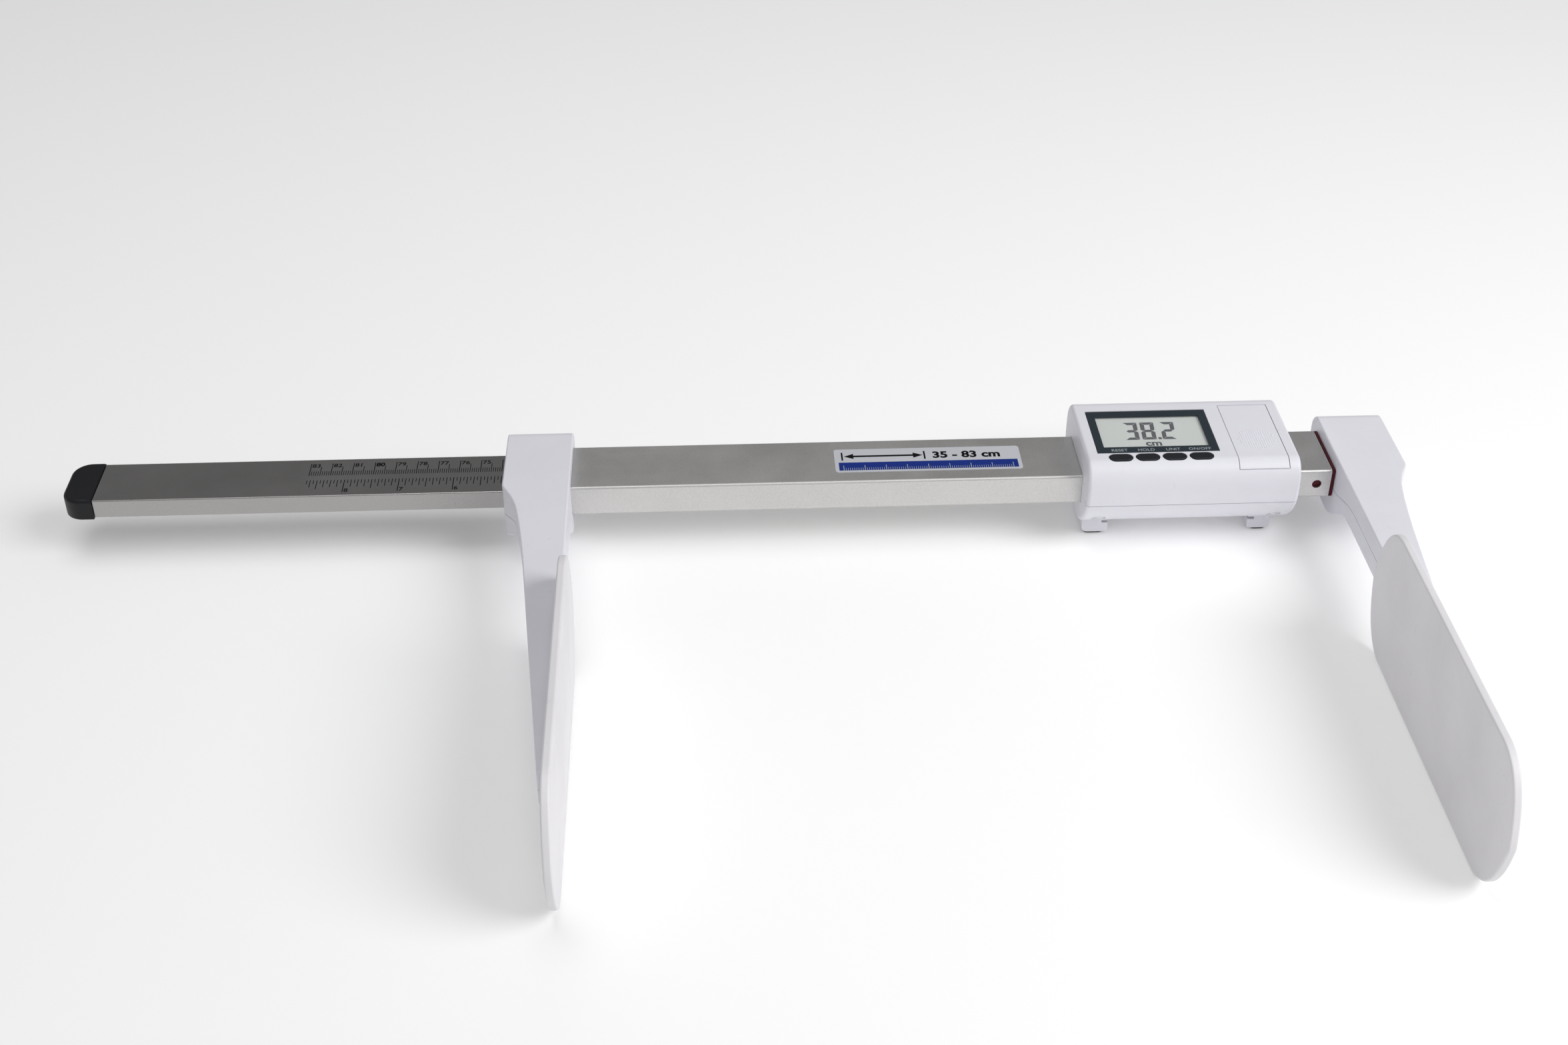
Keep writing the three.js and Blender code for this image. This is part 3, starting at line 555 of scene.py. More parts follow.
def tick_row_plan():
    """A row of equal printed ticks along x."""
    tree = node_plan("tick row")
    socket(tree, "Count", "NodeSocketInt", 10)
    socket(tree, "Pitch", "NodeSocketVector")
    socket(tree, "Start", "NodeSocketVector")
    socket(tree, "Tick", "NodeSocketVector")
    socket(tree, "Material", "NodeSocketMaterial")
    given = tree.nodes.new("NodeGroupInput")
    line = tree.nodes.new("GeometryNodeMeshLine")
    wire(tree, given, "Count", line, "Count")
    wire(tree, given, "Start", line, "Start Location")
    wire(tree, given, "Pitch", line, "Offset")
    tick = tree.nodes.new("GeometryNodeMeshCube")
    wire(tree, given, "Tick", tick, "Size")
    spread = tree.nodes.new("GeometryNodeInstanceOnPoints")
    wire(tree, line, "Mesh", spread, "Points")
    wire(tree, tick, "Mesh", spread, "Instance")
    ending(tree, given, spread, "Instances")
    return tree


def dot_field_plan():
    """Small domes on a square grid, kept inside a circle."""
    tree = node_plan("dot field")
    socket(tree, "Radius", "NodeSocketFloat", 0.008)
    socket(tree, "Across", "NodeSocketInt", 15)
    socket(tree, "Dot", "NodeSocketFloat", 0.0003)
    socket(tree, "Centre", "NodeSocketVector")
    socket(tree, "Material", "NodeSocketMaterial")
    given = tree.nodes.new("NodeGroupInput")
    width = math_node(tree, "MULTIPLY", (given, "Radius"), 2.0)
    grid = tree.nodes.new("GeometryNodeMeshGrid")
    wire(tree, width, 0, grid, "Size X")
    wire(tree, width, 0, grid, "Size Y")
    wire(tree, given, "Across", grid, "Vertices X")
    wire(tree, given, "Across", grid, "Vertices Y")
    where = tree.nodes.new("GeometryNodeInputPosition")
    reach = tree.nodes.new("ShaderNodeVectorMath")
    reach.operation = "LENGTH"
    wire(tree, where, "Position", reach, 0)
    outside = tree.nodes.new("FunctionNodeCompare")
    outside.data_type = "FLOAT"
    outside.operation = "GREATER_THAN"
    wire(tree, reach, "Value", outside, 0)
    wire(tree, given, "Radius", outside, 1)
    kept = tree.nodes.new("GeometryNodeDeleteGeometry")
    wire(tree, grid, "Mesh", kept, "Geometry")
    wire(tree, outside, 0, kept, "Selection")
    dot = node(tree, "GeometryNodeMeshUVSphere", {"Segments": 10, "Rings": 6})
    wire(tree, given, "Dot", dot, "Radius")
    spread = tree.nodes.new("GeometryNodeInstanceOnPoints")
    wire(tree, kept, "Geometry", spread, "Points")
    wire(tree, dot, "Mesh", spread, "Instance")
    moved = tree.nodes.new("GeometryNodeTransform")
    wire(tree, spread, "Instances", moved, "Geometry")
    wire(tree, given, "Centre", moved, "Translation")
    ending(tree, given, moved, "Geometry")
    return tree


def screw_set_plan():
    """One screw at each point of a mesh, its head facing along the point's `facing`."""
    tree = node_plan("screw set")
    socket(tree, "Geometry", "NodeSocketGeometry")
    socket(tree, "Screw", "NodeSocketObject")
    socket(tree, "Material", "NodeSocketMaterial")
    given = tree.nodes.new("NodeGroupInput")
    model = tree.nodes.new("GeometryNodeObjectInfo")
    wire(tree, given, "Screw", model, "Object")
    facing = tree.nodes.new("GeometryNodeInputNamedAttribute")
    facing.data_type = "FLOAT_VECTOR"
    facing.inputs["Name"].default_value = "facing"
    turn = tree.nodes.new("FunctionNodeAlignRotationToVector")
    wire(tree, facing, "Attribute", turn, "Vector")
    spread = tree.nodes.new("GeometryNodeInstanceOnPoints")
    wire(tree, given, "Geometry", spread, "Points")
    wire(tree, model, "Geometry", spread, "Instance")
    wire(tree, turn, "Rotation", spread, "Rotation")
    ending(tree, given, spread, "Instances")
    return tree


def grown(name, plan, settings, start=None):
    """A plain mesh made by a node plan."""
    made = linked(name, start or bpy.data.meshes.new(name))
    growth = made.modifiers.new("growth", "NODES")
    growth.node_group = plan
    for item in plan.interface.items_tree:
        if item.in_out == "INPUT" and item.name in settings:
            growth[item.identifier] = settings[item.name]
    settle(made)
    coated(made.data, settings["Material"])
    return made


TICK_ROW = tick_row_plan()
DOT_FIELD = dot_field_plan()
SCREW_SET = screw_set_plan()


def tick_row(name, count, x, pitch, y, length, z, width, height, material):
    return grown(
        name,
        TICK_ROW,
        {
            "Count": count,
            "Pitch": (pitch * MM, 0.0, 0.0),
            "Start": placed(x, y + length / 2, z),
            "Tick": (width * MM, length * MM, height * MM),
            "Material": material,
        },
    )


# ---------------------------------------------------------------- jaws

INNER, OUTER = -foot_low.x1, -foot_low.x0  # a jaw's two sides, behind its measuring face
BACK = head.y1
TIP = head.y0
TOP = head.z1
LOWEST = foot_low.z0
ARM_BOTTOM = AXIS_Z - 5
SHOULDER_Y = -21.5
EDGE = 0.8
HEAD_ROUND = 8
TIP_ROUND = 3


def between(curve, y):
    """The second value of a curve of (y, value) points, falling in y, at that y."""
    for (y0, v0), (y1, v1) in zip(curve, curve[1:]):
        if y1 <= y <= y0:
            return v0 + (v1 - v0) * (y0 - y) / max(y0 - y1, 1e-9)
    return curve[-1][1] if y < curve[-1][0] else curve[0][1]


outer_curve = (
    [(BACK, OUTER)]
    + bezier(
        (SHOULDER_Y, OUTER), (-26.5, OUTER - 1.5), (-29.5, OUTER - 5.5), (-43.5, OUTER - 7.9)
    )
    + bezier(
        (-43.5, OUTER - 7.9), (-52.8, OUTER - 9.6), (-65.5, OUTER - 11.3), (-81.5, OUTER - 13)
    )[1:]
    + [(TIP, INNER + 4.3)]
)
top_curve = (
    arc(BACK - HEAD_ROUND, TOP - HEAD_ROUND, HEAD_ROUND, HEAD_ROUND, 0, 90, 12)
    + [(TIP + EDGE, TOP)]
    + arc(TIP + EDGE, TOP - EDGE, EDGE, EDGE, 90, 180, 4)[1:]
)
bottom_curve = (
    arc(-10, AXIS_Z + 2, BACK + 10, AXIS_Z + 2 - LOWEST, 0, -90, 30)
    + bezier((-10, LOWEST), (-21, LOWEST), (-27.5, ARM_BOTTOM - 4), (-38.5, ARM_BOTTOM - 0.5))[1:]
    + [(-49.5, ARM_BOTTOM), (TIP + TIP_ROUND, ARM_BOTTOM)]
    + arc(TIP + TIP_ROUND, ARM_BOTTOM + TIP_ROUND, TIP_ROUND, TIP_ROUND, 270, 180, 8)[1:]
)


def stations():
    """The places along y where a jaw's skin has a row of points."""
    start, tip = BACK - HEAD_ROUND, TIP + TIP_ROUND
    places = [start + HEAD_ROUND * math.cos(math.radians(a)) for a in range(0, 90, 6)]
    places += [start - 1.6 * i for i in range(45)]
    places += range(-56, -216, -5)
    places += [tip - TIP_ROUND * math.sin(math.radians(a)) for a in range(0, 91, 10)]
    kept = []
    for place in sorted(places, reverse=True):
        if not kept or kept[-1] - place > 0.01:
            kept.append(place)
    return kept


def jaw_skin(name, face, side):
    ys = stations()
    loop = [(y, between(top_curve, y)) for y in ys]
    loop += [(y, between(bottom_curve, y)) for y in reversed(ys)]
    count, half = len(loop), len(ys)
    rings = []
    for shift, depth in quarter(EDGE):
        rings.append([(face + side * (INNER + depth), y, z) for y, z in inset(loop, shift)])
    for shift, depth in reversed(quarter(EDGE)):
        moved = inset(loop, shift)
        rings.append(
            [(face + side * (between(outer_curve, y) - depth), y, z) for y, z in moved]
        )
    faces = skin_faces(rings)
    for first in (0, (len(rings) - 1) * count):
        for i in range(half - 1):
            j = count - 1 - i
            faces.append((first + i, first + i + 1, first + j - 1, first + j))
    return thing(name, [p for ring in rings for p in ring], faces, white)


def over_parting(x0, x1, shift):
    head_z, arm_z = AXIS_Z - 3.2 + shift, AXIS_Z + 4 + shift
    behind, ahead, high = 60, -260, 90  # well clear of a jaw
    curve = bezier((-15.5, head_z), (-29.5, head_z), (-33.5, arm_z), (-55.5, arm_z), 16)
    outline = [(behind, head_z)] + curve + [(ahead, arm_z), (ahead, high), (behind, high)]
    return slab("over", list(reversed(outline)), x0, x1, "x", white)


def tube_outline(grow, radius=1.2):
    return rounded(tube.y0 - grow, tube.z0 - grow, tube.y1 + grow, tube.z1 + grow, radius)


def bar_outline(grow, radius=0.6):
    return rounded(bar.y0 - grow, bar.z0 - grow, bar.y1 + grow, bar.z1 + grow, radius)


def screw_nodes(label, kind):
    stem = f"{label}_{kind}_screw_"
    return sorted(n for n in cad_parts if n.startswith(stem))


def jaw(label, face, side, body, sockets):
    low, high = sorted((face, face + side * OUTER))
    low, high = low - PAST, high + PAST
    skin = jaw_skin(f"{label}_jaw_top", face, side)
    under = copied(skin, f"{label}_jaw_base")
    shaped(skin, "INTERSECT", over_parting(low, high, SEAM))
    shaped(under, "DIFFERENCE", over_parting(low, high, -SEAM))
    for piece in (skin, under):
        for outline, x0, x1 in sockets:
            carve(piece, slab("socket", outline, x0, x1, "x", white))
    for kind in ("head", "lock"):
        for name in screw_nodes(label, kind):
            at = Span(name)
            carve(under, drill(at.x, at.y, 0, at.z0 + SCREW_HEAD, WELL_RADIUS))
    for name in screw_nodes(label, "paddle"):
        at = Span(name)
        seat = at.x1 - SCREW_HEAD if side > 0 else at.x0 + SCREW_HEAD
        x0, x1 = sorted((seat, seat + side * (OUTER + PAST)))
        for piece in (skin, under):
            carve(piece, drill_x(at.y, at.z, x0, x1, WELL_RADIUS))
    mounted(skin, body, [f"{label}_head_upper"])
    mounted(under, body, [f"{label}_head_lower"])


PADDLE_THICK = 3.6


def paddle(label, face, side, body):
    at = Span(f"{label}_paddle")
    y0, y1, z0, z1, middle = at.y0, at.y1, at.z0, at.z1, at.z
    r, bulge = 26, 3
    outline = (
        bezier((y1 - r, z0), (y1 - r * 0.4, z0), (y1 - bulge, z0 + r * 0.5), (y1, middle), 16)
        + bezier((y1, middle), (y1 - bulge, z1 - r * 0.5), (y1 - r * 0.4, z1), (y1 - r, z1), 16)[1:]
        + bezier((y0 + r, z1), (y0 + r * 0.4, z1), (y0 + bulge, z1 - r * 0.5), (y0, middle), 16)
        + bezier((y0, middle), (y0 + bulge, z0 + r * 0.5), (y0 + r * 0.4, z0), (y0 + r, z0), 16)[1:]
    )
    x0, x1 = sorted((face, face + side * PADDLE_THICK))
    made = slab(f"{label}_paddle_plate", outline, x0, x1, "x", paddle_white, 0.9, steps=5)
    mounted(made, body, [f"{label}_paddle"], 40)


tube_sockets = [
    (tube_outline(GAP), tube.x0 - GAP, PAST),
    (tube_outline(-TUBE_WALL, 0.6), -OUTER - PAST, PAST),
]
jaw("fixed", 0, -1, "fixed_frame", tube_sockets)
jaw("sliding", span, 1, "sliding_jaw", [(bar_outline(GAP), span, bar.x1 + GAP)])
paddle("fixed", 0, -1, "fixed_frame")
paddle("sliding", span, 1, "sliding_jaw")

# ---------------------------------------------------------------- tube, bar and their fittings

SNAP_X = tube.x1 - 6.5
tube_inside = tube_outline(-TUBE_WALL, 0.4)
body_tube = pipe("tube_extrusion", tube_outline(0), tube_inside, tube.x0, tube.x1, aluminium)
carve(body_tube, drill_y(SNAP_X, AXIS_Z, tube.y0 - PAST, tube.y1 + PAST, 2.2))
soften(body_tube, 0.15, 60)
mounted(body_tube, "fixed_frame", ["outer_tube"])

rim_x = tube.x1 + GAP
bushing_outline = tube_outline(-TUBE_WALL - 0.2, 0.4)
bushing_bore = bar_outline(0.2)
sleeve = pipe("sleeve", bushing_outline, bushing_bore, flange.x0, rim_x, maroon)
rim = pipe("rim", tube_outline(0), bushing_bore, rim_x, flange.x1, maroon)
knob_outline = circle(SNAP_X, AXIS_Z, 1.9)
knob_in, knob_out = tube.y1 - 3.0, tube.y1 - 1.8
knobs = [
    slab("knob", knob_outline, -knob_out, -knob_in, "y", maroon),
    slab("knob", knob_outline, knob_in, knob_out, "y", maroon),
]
collar = joined("tube_collar", maroon, [sleeve, rim, *knobs])
mounted(collar, "fixed_frame", ["tube_end_bushing"])

bar_inside = bar_outline(-BAR_WALL, 0.3)
slider = pipe("sliding_bar", bar_outline(0), bar_inside, bar.x0, bar.x1, bar_metal)
mounted(slider, "sliding_jaw", ["inner_bar"])

half_cap = (cap.y1 - cap.y0) / 2
cap_end = bar.x0 - GAP
CAP_CORNER = 9
cap_turn = cap.x0 + CAP_CORNER
cap_plan = (
    [(cap_end, -half_cap), (cap_end, half_cap)]
    + arc(cap_turn, half_cap - CAP_CORNER, CAP_CORNER, CAP_CORNER, 90, 180, 12)
    + arc(cap_turn, CAP_CORNER - half_cap, CAP_CORNER, CAP_CORNER, 180, 270, 12)
)
end_cap = slab("bar_cap", cap_plan, cap.z0, cap.z1, "z", black, 1.9, 0.7, 7)
mounted(end_cap, "sliding_jaw", ["bar_end_cap"])

# ---------------------------------------------------------------- printed scale

FIRST_CM = 83
TICK_83 = bar.x0 + 96.6  # the first long tick from the capped end
ZERO_X = TICK_83 + FIRST_CM * 10
PRINT_Z = bar.z1 + 0.01
LAST_CM = 35
LONG_TICK = 10.24
SCALE_CM = FIRST_CM - LAST_CM
INCH = 25.4
first_inch = 32.6875
last_inch = 14
CM_ROW_Y = 1.63
INCH_ROW_Y = -2.44
CM_NUMBER_Y = 8.6
INCH_NUMBER_Y = -12.6
NUMBER_SIZE = 4.1
BOLD, REGULAR = 0.17, 0.06
CM_TICKS = ((1, 3.6, 0.3, 0.02), (5, 7.3, 0.32, 0.022), (10, LONG_TICK, 0.38, 0.024))
INCH_TICKS = ((16, 2.9, 0.34), (8, 5.8, 0.36), (2, 7.2, 0.38), (1, LONG_TICK, 0.42))
scale_parts = [
    tick_row(
        f"{pitch}_mm_ticks",
        SCALE_CM * 10 // pitch + 1,
        TICK_83,
        pitch,
        CM_ROW_Y,
        length,
        PRINT_Z,
        width,
        height,
        black_ink,
    )
    for pitch, length, width, height in CM_TICKS
]
for step, length, width in INCH_TICKS:
    first = math.floor(first_inch * step) / step
    scale_parts.append(
        tick_row(
            f"inch_{step}_ticks",
            round((first - last_inch) * step) + 1,
            ZERO_X - first * INCH,
            INCH / step,
            INCH_ROW_Y - length,
            length,
            PRINT_Z,
            width,
            0.02 + 0.002 * length / 3,
            black_ink,
        )
    )


def number(text, from_zero, y, weight):
    """A number just to the right of the tick it belongs to."""
    x = ZERO_X - from_zero + 0.5
    return lettering(text, NUMBER_SIZE, x, y, PRINT_Z, black_ink, weight=weight)


for cm in range(FIRST_CM, LAST_CM - 1, -1):
    weight = BOLD if cm % 10 == 0 else REGULAR
    scale_parts.append(number(str(cm), cm * 10, CM_NUMBER_Y, weight))
for inch in range(int(first_inch), last_inch - 1, -1):
    text = str(inch % 12) if inch % 12 else f"{inch // 12} ft"
    scale_parts.append(number(text, inch * INCH, INCH_NUMBER_Y, REGULAR))
printed_scale = joined("printed_scale", black_ink, scale_parts)
mounted(printed_scale, "sliding_jaw")

# ---------------------------------------------------------------- label on the tube

LABEL_X0, LABEL_X1 = 119.4, 207.6
LABEL_Y = 9.85
BAND_Y0, BAND_Y1, BAND_MARGIN = -8.4, -1.6, 1.8
INK = 0.02
film_top = tube.z1 + 0.12
print_top = film_top + INK
film_outline = rounded(LABEL_X0, -LABEL_Y, LABEL_X1, LABEL_Y, 1.6)
film = slab("label_film", film_outline, tube.z1 + 0.01, film_top, "z", label_film)
mounted(film, "fixed_frame")
band_outline = rectangle(LABEL_X0 + BAND_MARGIN, BAND_Y0, LABEL_X1 - BAND_MARGIN, BAND_Y1)
band = slab("label_band", band_outline, film_top, print_top, "z", blue_ink)
mounted(band, "fixed_frame")
band_x, band_z = LABEL_X0 + 4, film_top + 0.03
fine_ticks = tick_row("band_fine", 81, band_x, 1, BAND_Y0, 2.2, band_z, 0.22, 0.02, grey_ink)
long_ticks = tick_row("band_long", 9, band_x, 10, BAND_Y0, 4.2, band_z, 0.34, 0.024, grey_ink)
band_ticks = joined("label_band_ticks", grey_ink, [fine_ticks, long_ticks])
mounted(band_ticks, "fixed_frame")


def arrow(x0, x1, y, z):
    """A double-ended arrow between two bars."""
    shaft, tall, long, bar_half = 0.7, 2.2, 4.6, 3.4
    outline = [
        (x0, y),
        (x0 + long, y - tall),
        (x0 + long, y - shaft),
        (x1 - long, y - shaft),
        (x1 - long, y - tall),
        (x1, y),
        (x1 - long, y + tall),
        (x1 - long, y + shaft),
        (x0 + long, y + shaft),
        (x0 + long, y + tall),
    ]
    pieces = [slab("arrow", outline, z, z + INK, "z", black_ink)]
    for at in (x0 - 1.2, x1 + 0.4):
        stop = rectangle(at, y - bar_half, at + 0.8, y + bar_half)
        pieces.append(slab("stop", stop, z, z + INK, "z", black_ink))
    return pieces


range_text = lettering("35 - 83 cm", 7.4, LABEL_X0 + 46.5, 1.0, print_top, black_ink, weight=0.28)
label_parts = [*arrow(LABEL_X0 + 4.5, LABEL_X0 + 42, 3.6, film_top), range_text]
label_print = joined("label_print", black_ink, label_parts)
mounted(label_print, "fixed_frame")

# ---------------------------------------------------------------- display case

HALF = (case.y1 - case.y0) / 2
CASE_TOP = case.z1
CASE_LOW = AXIS_Z - 19.5
PARTING = AXIS_Z - 0.5
WALL = 2.0
CASE_EDGE = 1.8
CASE_SOFT = 0.22
ROOF_UNDER = AXIS_Z + 9  # below the case's roof, above the tube


def case_outline(amount):
    half, top, low = HALF - amount, CASE_TOP - amount, CASE_LOW + amount
    flat, under = HALF - 9 - amount, HALF - 18 - amount
    side = PARTING + 3.5
    return (
        bezier((under, low), (under + 8, low + 4), (half, low + 13.5), (half, side), 14)
        + bezier((half, top - 12.5), (half, top - 5.5), (flat + 5.5, top), (flat, top), 14)
        + bezier((-flat, top), (-flat - 5.5, top), (-half, top - 5.5), (-half, top - 12.5), 14)
        + bezier((-half, side), (-half, low + 13.5), (-under - 8, low + 4), (-under, low), 14)
    )


def case_skin(name):
    return slab(name, case_outline(0), case.x0, case.x1, "x", white, CASE_EDGE, steps=6)


def case_core(amount):
    return slab("core", case_outline(amount), case.x0 + WALL, case.x1 - WALL, "x", white)


def case_trim(amount=0.5):
    """What stands inside the case stays within this."""
    return slab("trim", case_outline(amount), case.x0, case.x1, "x", white)


def case_slot():
    return slab("slot", tube_outline(GAP), case.x0 - PAST, case.x1 + PAST, "x", white)


buttons = [Span(f"button_{i}") for i in range(1, 5)]
BUTTON_Y = buttons[0].y
BUTTON_LONG, BUTTON_WIDE = 11.0, 5.6
case_screws = [Span(f"case_screw_{i}") for i in range(1, 5)]
BAY_WALL = 1.2
bay = (door.x0 - 0.6, door.x1 + 0.6, Span("battery_contact_front").y0 - GAP, 24.0)
bay_floor = Span("battery_1").z0 - GAP


def case_shell(name, cut_low, cut_high):
    """The case's hollow shell without what lies between two heights."""
    beside = HALF + PAST
    cut = block(case.x0 - PAST, case.x1 + PAST, -beside, beside, cut_low, cut_high)
    return carve(case_skin(name), cut, case_core(WALL))


def door_strip(gap, name):
    """The part of the case's front and top that the battery door takes."""
    outline = [
        (door.x0 - gap, -HALF - PAST),
        (door.x1 + gap, -HALF - PAST),
        (door.x1 + gap, door.y1 + gap),
        (door.x0 - gap, door.y1 + gap),
    ]
    return slab(name, outline, door.z0 - gap, CASE_TOP + PAST, "z", white)


upper = case_shell("case_top", 0, PARTING + SEAM)
tray = block(
    bay[0] - BAY_WALL,
    bay[1] + BAY_WALL,
    bay[2] - BAY_WALL,
    bay[3] + BAY_WALL,
    bay_floor - BAY_WALL / 2,
    CASE_TOP - 0.4,
)
shaped(tray, "INTERSECT", case_trim())
shaped(upper, "UNION", tray)
carve(upper, block(*bay, bay_floor, CASE_TOP - 1.6))
carve(upper, carve(door_strip(SEAM, "opening"), case_trim(1.8)))
bezel_gap = 0.2
bezel_seat = block(
    bezel.x0 - bezel_gap,
    bezel.x1 + bezel_gap,
    bezel.y0 - bezel_gap,
    bezel.y1 + bezel_gap,
    ROOF_UNDER,
    CASE_TOP + PAST,
)
carve(upper, bezel_seat)
for at in buttons:
    hole = stadium(at.x, BUTTON_Y, BUTTON_LONG + 0.5, BUTTON_WIDE + 0.5)
    carve(upper, slab("key hole", hole, ROOF_UNDER, CASE_TOP + PAST, "z", white))
carve(upper, case_slot())
soften(upper, CASE_SOFT, 50)
mounted(upper, "fixed_frame", ["display_upper_case"])

lower = case_shell("case_base", PARTING - SEAM, CASE_TOP + PAST)
FOOT_HALF = 15.4
FOOT_ROUND = 3.0
FOOT_NOTCH = 3.1
FEET = ((2.1, 14.7, True), (81.7, 92.7, False))  # from the case's left end, rounded on the left
FOOT_LOW = Span("foot_pad_left").z1 + 0.02


def foot_rail(x0, x1, round_left):
    high = CASE_LOW + 1
    if round_left:
        outline = [(x1, FOOT_LOW), (x1, high), (x0, high)] + arc(
            x0 + FOOT_ROUND, FOOT_LOW + FOOT_ROUND, FOOT_ROUND, FOOT_ROUND, 180, 270
        )
    else:
        outline = [(x0, high), (x0, FOOT_LOW)] + arc(
            x1 - FOOT_ROUND, FOOT_LOW + FOOT_ROUND, FOOT_ROUND, FOOT_ROUND, -90, 0
        ) + [(x1, high)]
    rail = slab("rail", outline, -FOOT_HALF, FOOT_HALF, "y", white, 0.5)
    notch_x = (x1 - FOOT_NOTCH, x1 + PAST) if round_left else (x0 - PAST, x0 + FOOT_NOTCH)
    carve(rail, block(*notch_x, -FOOT_HALF - PAST, 0, CASE_LOW - 1.3, CASE_LOW - 0.02))
    return rail


for start, end, round_left in FEET:
    shaped(lower, "UNION", foot_rail(case.x0 + start, case.x0 + end, round_left))
for at in case_screws:
    boss = drill(at.x, at.y, CASE_LOW + 1, PARTING - SEAM, 4.5)
    shaped(boss, "INTERSECT", case_trim())
    shaped(lower, "UNION", boss)
    carve(lower, drill(at.x, at.y, 0, at.z0 + SCREW_HEAD, 3.3))
carve(lower, case_slot())
soften(lower, CASE_SOFT, 50)
mounted(lower, "fixed_frame", ["display_lower_case"])

lid = case_skin("battery_lid")
shaped(lid, "INTERSECT", carve(door_strip(-SEAM, "lid shape"), case_trim(1.5)))
soften(lid, CASE_SOFT, 50)
mounted(lid, "battery_cover", ["battery_door"])

GRIP_X, GRIP_Y, GRIP_R = door.x + 0.45, door.y - 5.04, 8.8
grip = grown(
    "lid_grip",
    DOT_FIELD,
    {
        "Radius": GRIP_R * MM,
        "Across": 17,
        "Dot": 0.3 * MM,
        "Centre": placed(GRIP_X, GRIP_Y, CASE_TOP - 0.02),
        "Material": white,
    },
)
mounted(grip, "battery_cover")

for side in ("left", "right"):
    sole = plate(f"{side}_sole", Span(f"foot_pad_{side}"), pad, 2, 0.35)
    mounted(sole, "fixed_frame", [f"foot_pad_{side}"])

# ---------------------------------------------------------------- display and buttons

BEZEL_RIM = 3.8
WINDOW_X0, WINDOW_X1, WINDOW_Y = bezel.x0 + BEZEL_RIM, bezel.x1 - BEZEL_RIM, 13.2
surround = plate("bezel_frame", bezel, bezel_grey, 0.8, 0.25)
window = block(WINDOW_X0, WINDOW_X1, -WINDOW_Y, WINDOW_Y, bezel.z0 - PAST, bezel.z1 + PAST)
carve(surround, window)
soften(surround, 0.25, 50)
mounted(surround, "fixed_frame", ["display_bezel"])

pane = plate("window_pane", lens, glass)
mounted(pane, "fixed_frame", ["display_lens"])
panel = plate("lcd_panel", module, lcd)
mounted(panel, "fixed_frame", ["lcd_module"])

SEGMENTS = {"3": "abcdg", "8": "abcdefg", "2": "abdeg"}
DIGIT_WIDE, DIGIT_TALL, STROKE, SLANT = 6.6, 15.0, 2.0, 0.06
FIGURE_THICK = 0.03


def figure(symbol, x, y, z):
    """A seven-bar figure whose bars meet at mitred corners."""
    w, h, t, gap = DIGIT_WIDE, DIGIT_TALL / 2, STROKE, 0.14
    middle = [
        (gap + t / 2, h),
        (t, h - t / 2),
        (w - t, h - t / 2),
        (w - t / 2 - gap, h),
        (w - t, h + t / 2),
        (t, h + t / 2),
    ]
    foot = [(gap, 0), (w - gap, 0), (w - t - gap, t), (t + gap, t)]
    post = [(0, gap), (t, t + gap), (t, h - t / 2 - gap), (t / 2, h - gap), (0, h - t / 2 - gap)]
    over = [(u, 2 * h - v) for u, v in foot]
    raised = [(u, 2 * h - v) for u, v in post]
    bars = {
        "a": over,
        "b": [(w - u, v) for u, v in raised],
        "c": [(w - u, v) for u, v in post],
        "d": foot,
        "e": post,
        "f": raised,
        "g": middle,
    }
    pieces = []
    for key in SEGMENTS[symbol]:
        shape = [(x + u + SLANT * v, y + v) for u, v in bars[key]]
        if sum(a[0] * b[1] - b[0] * a[1] for a, b in zip(shape, shape[1:] + shape[:1])) < 0:
            shape.reverse()
        pieces.append(slab("bar", shape, z, z + FIGURE_THICK, "z", lcd_ink))
    return pieces


figures_z = module.z1 + 0.02
figures_y = -5.6
figure_parts = []
for symbol, x in (("3", 11.8), ("8", 19.8), ("2", 29.3)):
    figure_parts += figure(symbol, WINDOW_X0 + x, figures_y, figures_z)
dot = rectangle(WINDOW_X0 + 27.3, figures_y, WINDOW_X0 + 28.8, figures_y + 1.8)
point = slab("point", dot, figures_z, figures_z + FIGURE_THICK, "z", lcd_ink)
unit_z = figures_z + FIGURE_THICK / 2
unit = lettering("cm", 6.4, WINDOW_X0 + 20.4, -10.9, unit_z, lcd_ink, weight=0.22)
figures = joined("lcd_figures", lcd_ink, [*figure_parts, point, unit])
mounted(figures, "fixed_frame")

names = ("RESET", "HOLD", "UNIT", "ON/OFF")
LEGEND_SIZE, LEGEND_Y = 2.9, -17.1
legend_z = bezel.z1 + 0.01
legend_parts = [
    lettering(text, LEGEND_SIZE, at.x + 0.4, LEGEND_Y, legend_z, grey_ink, "CENTER", 0.02)
    for text, at in zip(names, buttons)
]
legends = joined("button_legends", grey_ink, legend_parts)
mounted(legends, "fixed_frame")

bodies = ("reset_button", "hold_button", "unit_button", "on_off_button")
for index, (at, body) in enumerate(zip(buttons, bodies), 1):
    outline = stadium(at.x, BUTTON_Y, BUTTON_LONG, BUTTON_WIDE)
    key = slab(f"key_{index}", outline, CASE_TOP - 3.2, at.z1, "z", rubber, 0.7, 0.0, 5)
    mounted(key, body, [f"button_{index}"])

# ---------------------------------------------------------------- screws, cells and what lies inside


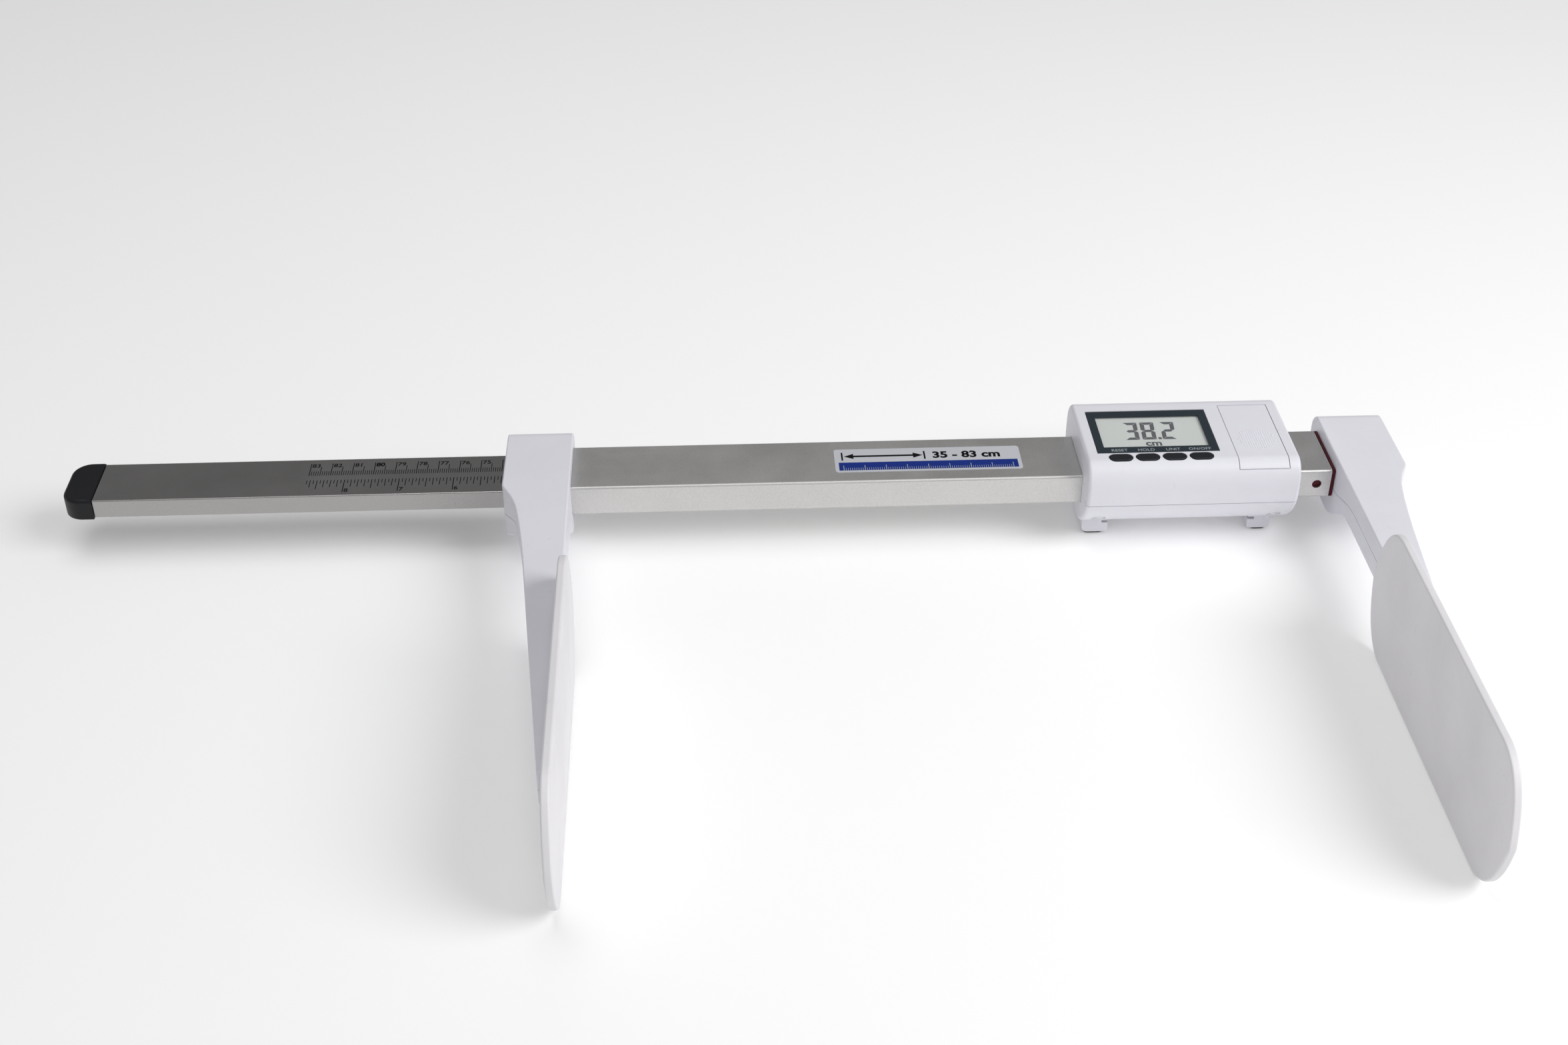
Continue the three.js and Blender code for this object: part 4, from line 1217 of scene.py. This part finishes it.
def screw_model():
    """A pan-head screw with a cross in it, head up, seat at z = 0."""
    profile = [(1.4, -3.0), (1.4, 0.0), (2.7, 0.0), (2.7, 0.9), (2.3, 1.5), (1.4, 1.8)]
    sides = 28
    rings = []
    for r, z in profile:
        rings.append([(x - ORIGIN_X, y - ORIGIN_Y, z) for x, y in circle(0, 0, r, sides)])
    made = stacked("screw", rings, steel)
    for wide, deep in ((3.0, 0.7), (0.7, 3.0)):
        x0, x1 = -wide / 2 - ORIGIN_X, wide / 2 - ORIGIN_X
        y0, y1 = -deep / 2 - ORIGIN_Y, deep / 2 - ORIGIN_Y
        carve(made, block(x0, x1, y0, y1, 0.7, 3))
    smoothed(made.data, 35)
    return made


pattern = screw_model()


def screw_set(name, nodes, body):
    points, facing = [], []
    for each in nodes:
        at = Span(each)
        upright = at.z1 - at.z0 >= at.x1 - at.x0
        if upright:
            points.append((at.x, at.y, at.z0 + SCREW_HEAD))
            facing += [0.0, 0.0, -1.0]
        elif at.x > span / 2:
            points.append((at.x1 - SCREW_HEAD, at.y, at.z))
            facing += [1.0, 0.0, 0.0]
        else:
            points.append((at.x0 + SCREW_HEAD, at.y, at.z))
            facing += [-1.0, 0.0, 0.0]
    seats = bpy.data.meshes.new(name)
    seats.from_pydata([placed(*p) for p in points], [], [])
    turned = seats.attributes.new("facing", "FLOAT_VECTOR", "POINT")
    turned.data.foreach_set("vector", facing)
    made = grown(name, SCREW_SET, {"Screw": pattern, "Material": steel}, seats)
    mounted(made, body, nodes)


all_screws = sorted(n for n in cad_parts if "_screw_" in n)
screw_set("frame_screws", [n for n in all_screws if not n.startswith("sliding")], "fixed_frame")
screw_set("slider_screws", [n for n in all_screws if n.startswith("sliding")], "sliding_jaw")
bpy.data.objects.remove(pattern)

for index in (1, 2):
    at = Span(f"battery_{index}")
    r = (at.x1 - at.x0) / 2
    cell = slab(f"cell_{index}", circle(at.x, at.z, r, 40), at.y0 + 1, at.y1 - 1, "y", jacket, 0.5)
    mounted(cell, "fixed_frame", [f"battery_{index}"])
    cell_end = slab(f"cell_end_{index}", circle(at.x, at.z, 1.9), at.y0 + 0.1, at.y1 - 0.1, "y", steel)
    mounted(cell_end, "fixed_frame")

carried = {
    "encoder_strip": black,
    "tube_stop_bushing": maroon,
    "bar_reader": black,
    "circuit_board": board,
    "battery_contact_front": steel,
    "battery_contact_back": steel,
}
for name, finish in carried.items():
    coated(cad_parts[name].data, finish)

# ---------------------------------------------------------------- room, light and camera


def studio_floor():
    made, _, shader = blank("pale floor")
    shader.inputs["Base Color"].default_value = (0.9, 0.9, 0.9, 1)
    shader.inputs["Roughness"].default_value = 0.85
    shader.inputs["Emission Color"].default_value = (1, 1, 1, 1)
    shader.inputs["Emission Strength"].default_value = 0.16
    bpy.ops.mesh.primitive_plane_add(size=12, location=(0, 0, -0.0002))
    floor = bpy.context.object
    floor.name = "floor"
    floor.data.materials.append(made)


def area_light(name, place, aim, size, power, color=(1, 1, 1)):
    lamp = bpy.data.lights.new(name, "AREA")
    lamp.shape = "DISK"
    lamp.size = size
    lamp.energy = power
    lamp.color = color
    made = linked(name, lamp)
    made.location = place
    made.rotation_euler = (Vector(aim) - Vector(place)).to_track_quat("-Z", "Y").to_euler()


studio_floor()
area_light("key", (1.2, -0.6, 1.2), (0.1, 0, 0), 1.1, 18)
area_light("top", (-0.2, 0.2, 1.8), (0, 0, 0), 1.2, 7)


def studio_world():
    """White surroundings that fall off towards the back of the room."""
    made = bpy.data.worlds.new("studio")
    made.use_nodes = True
    tree = made.node_tree
    place = tree.nodes.new("ShaderNodeTexCoord")
    split = tree.nodes.new("ShaderNodeSeparateXYZ")
    wire(tree, place, "Generated", split, "Vector")
    strength = remap(tree, split, "Y", -0.1, 0.8, 0.38, 0.2)
    wire(tree, strength, 0, tree.nodes["Background"], "Strength")
    tree.nodes["Background"].inputs["Color"].default_value = (1, 1, 1, 1)
    bpy.context.scene.world = made


studio_world()
bpy.context.scene.view_settings.view_transform = "Standard"


CAMERA_AT = (59.4, -803.3, 557.8)
CAMERA_TURN = (2.578, 34.749, 0.088)  # yaw, pitch and roll in degrees


def view_camera():
    yaw, pitch, roll = [math.radians(a) for a in CAMERA_TURN]
    forward = Vector(
        (
            math.sin(yaw) * math.cos(pitch),
            math.cos(yaw) * math.cos(pitch),
            -math.sin(pitch),
        )
    )
    flat = Vector((math.cos(yaw), -math.sin(yaw), 0))
    upright = flat.cross(forward)
    right = flat * math.cos(roll) + upright * math.sin(roll)
    above = upright * math.cos(roll) - flat * math.sin(roll)
    lens_data = bpy.data.cameras.new("camera")
    lens_data.lens = 46.73
    lens_data.sensor_width = 36
    made = linked("camera", lens_data)
    turn = Matrix((right, above, -forward)).transposed().to_4x4()
    made.matrix_world = Matrix.Translation(placed(*CAMERA_AT)) @ turn
    bpy.context.scene.camera = made


view_camera()
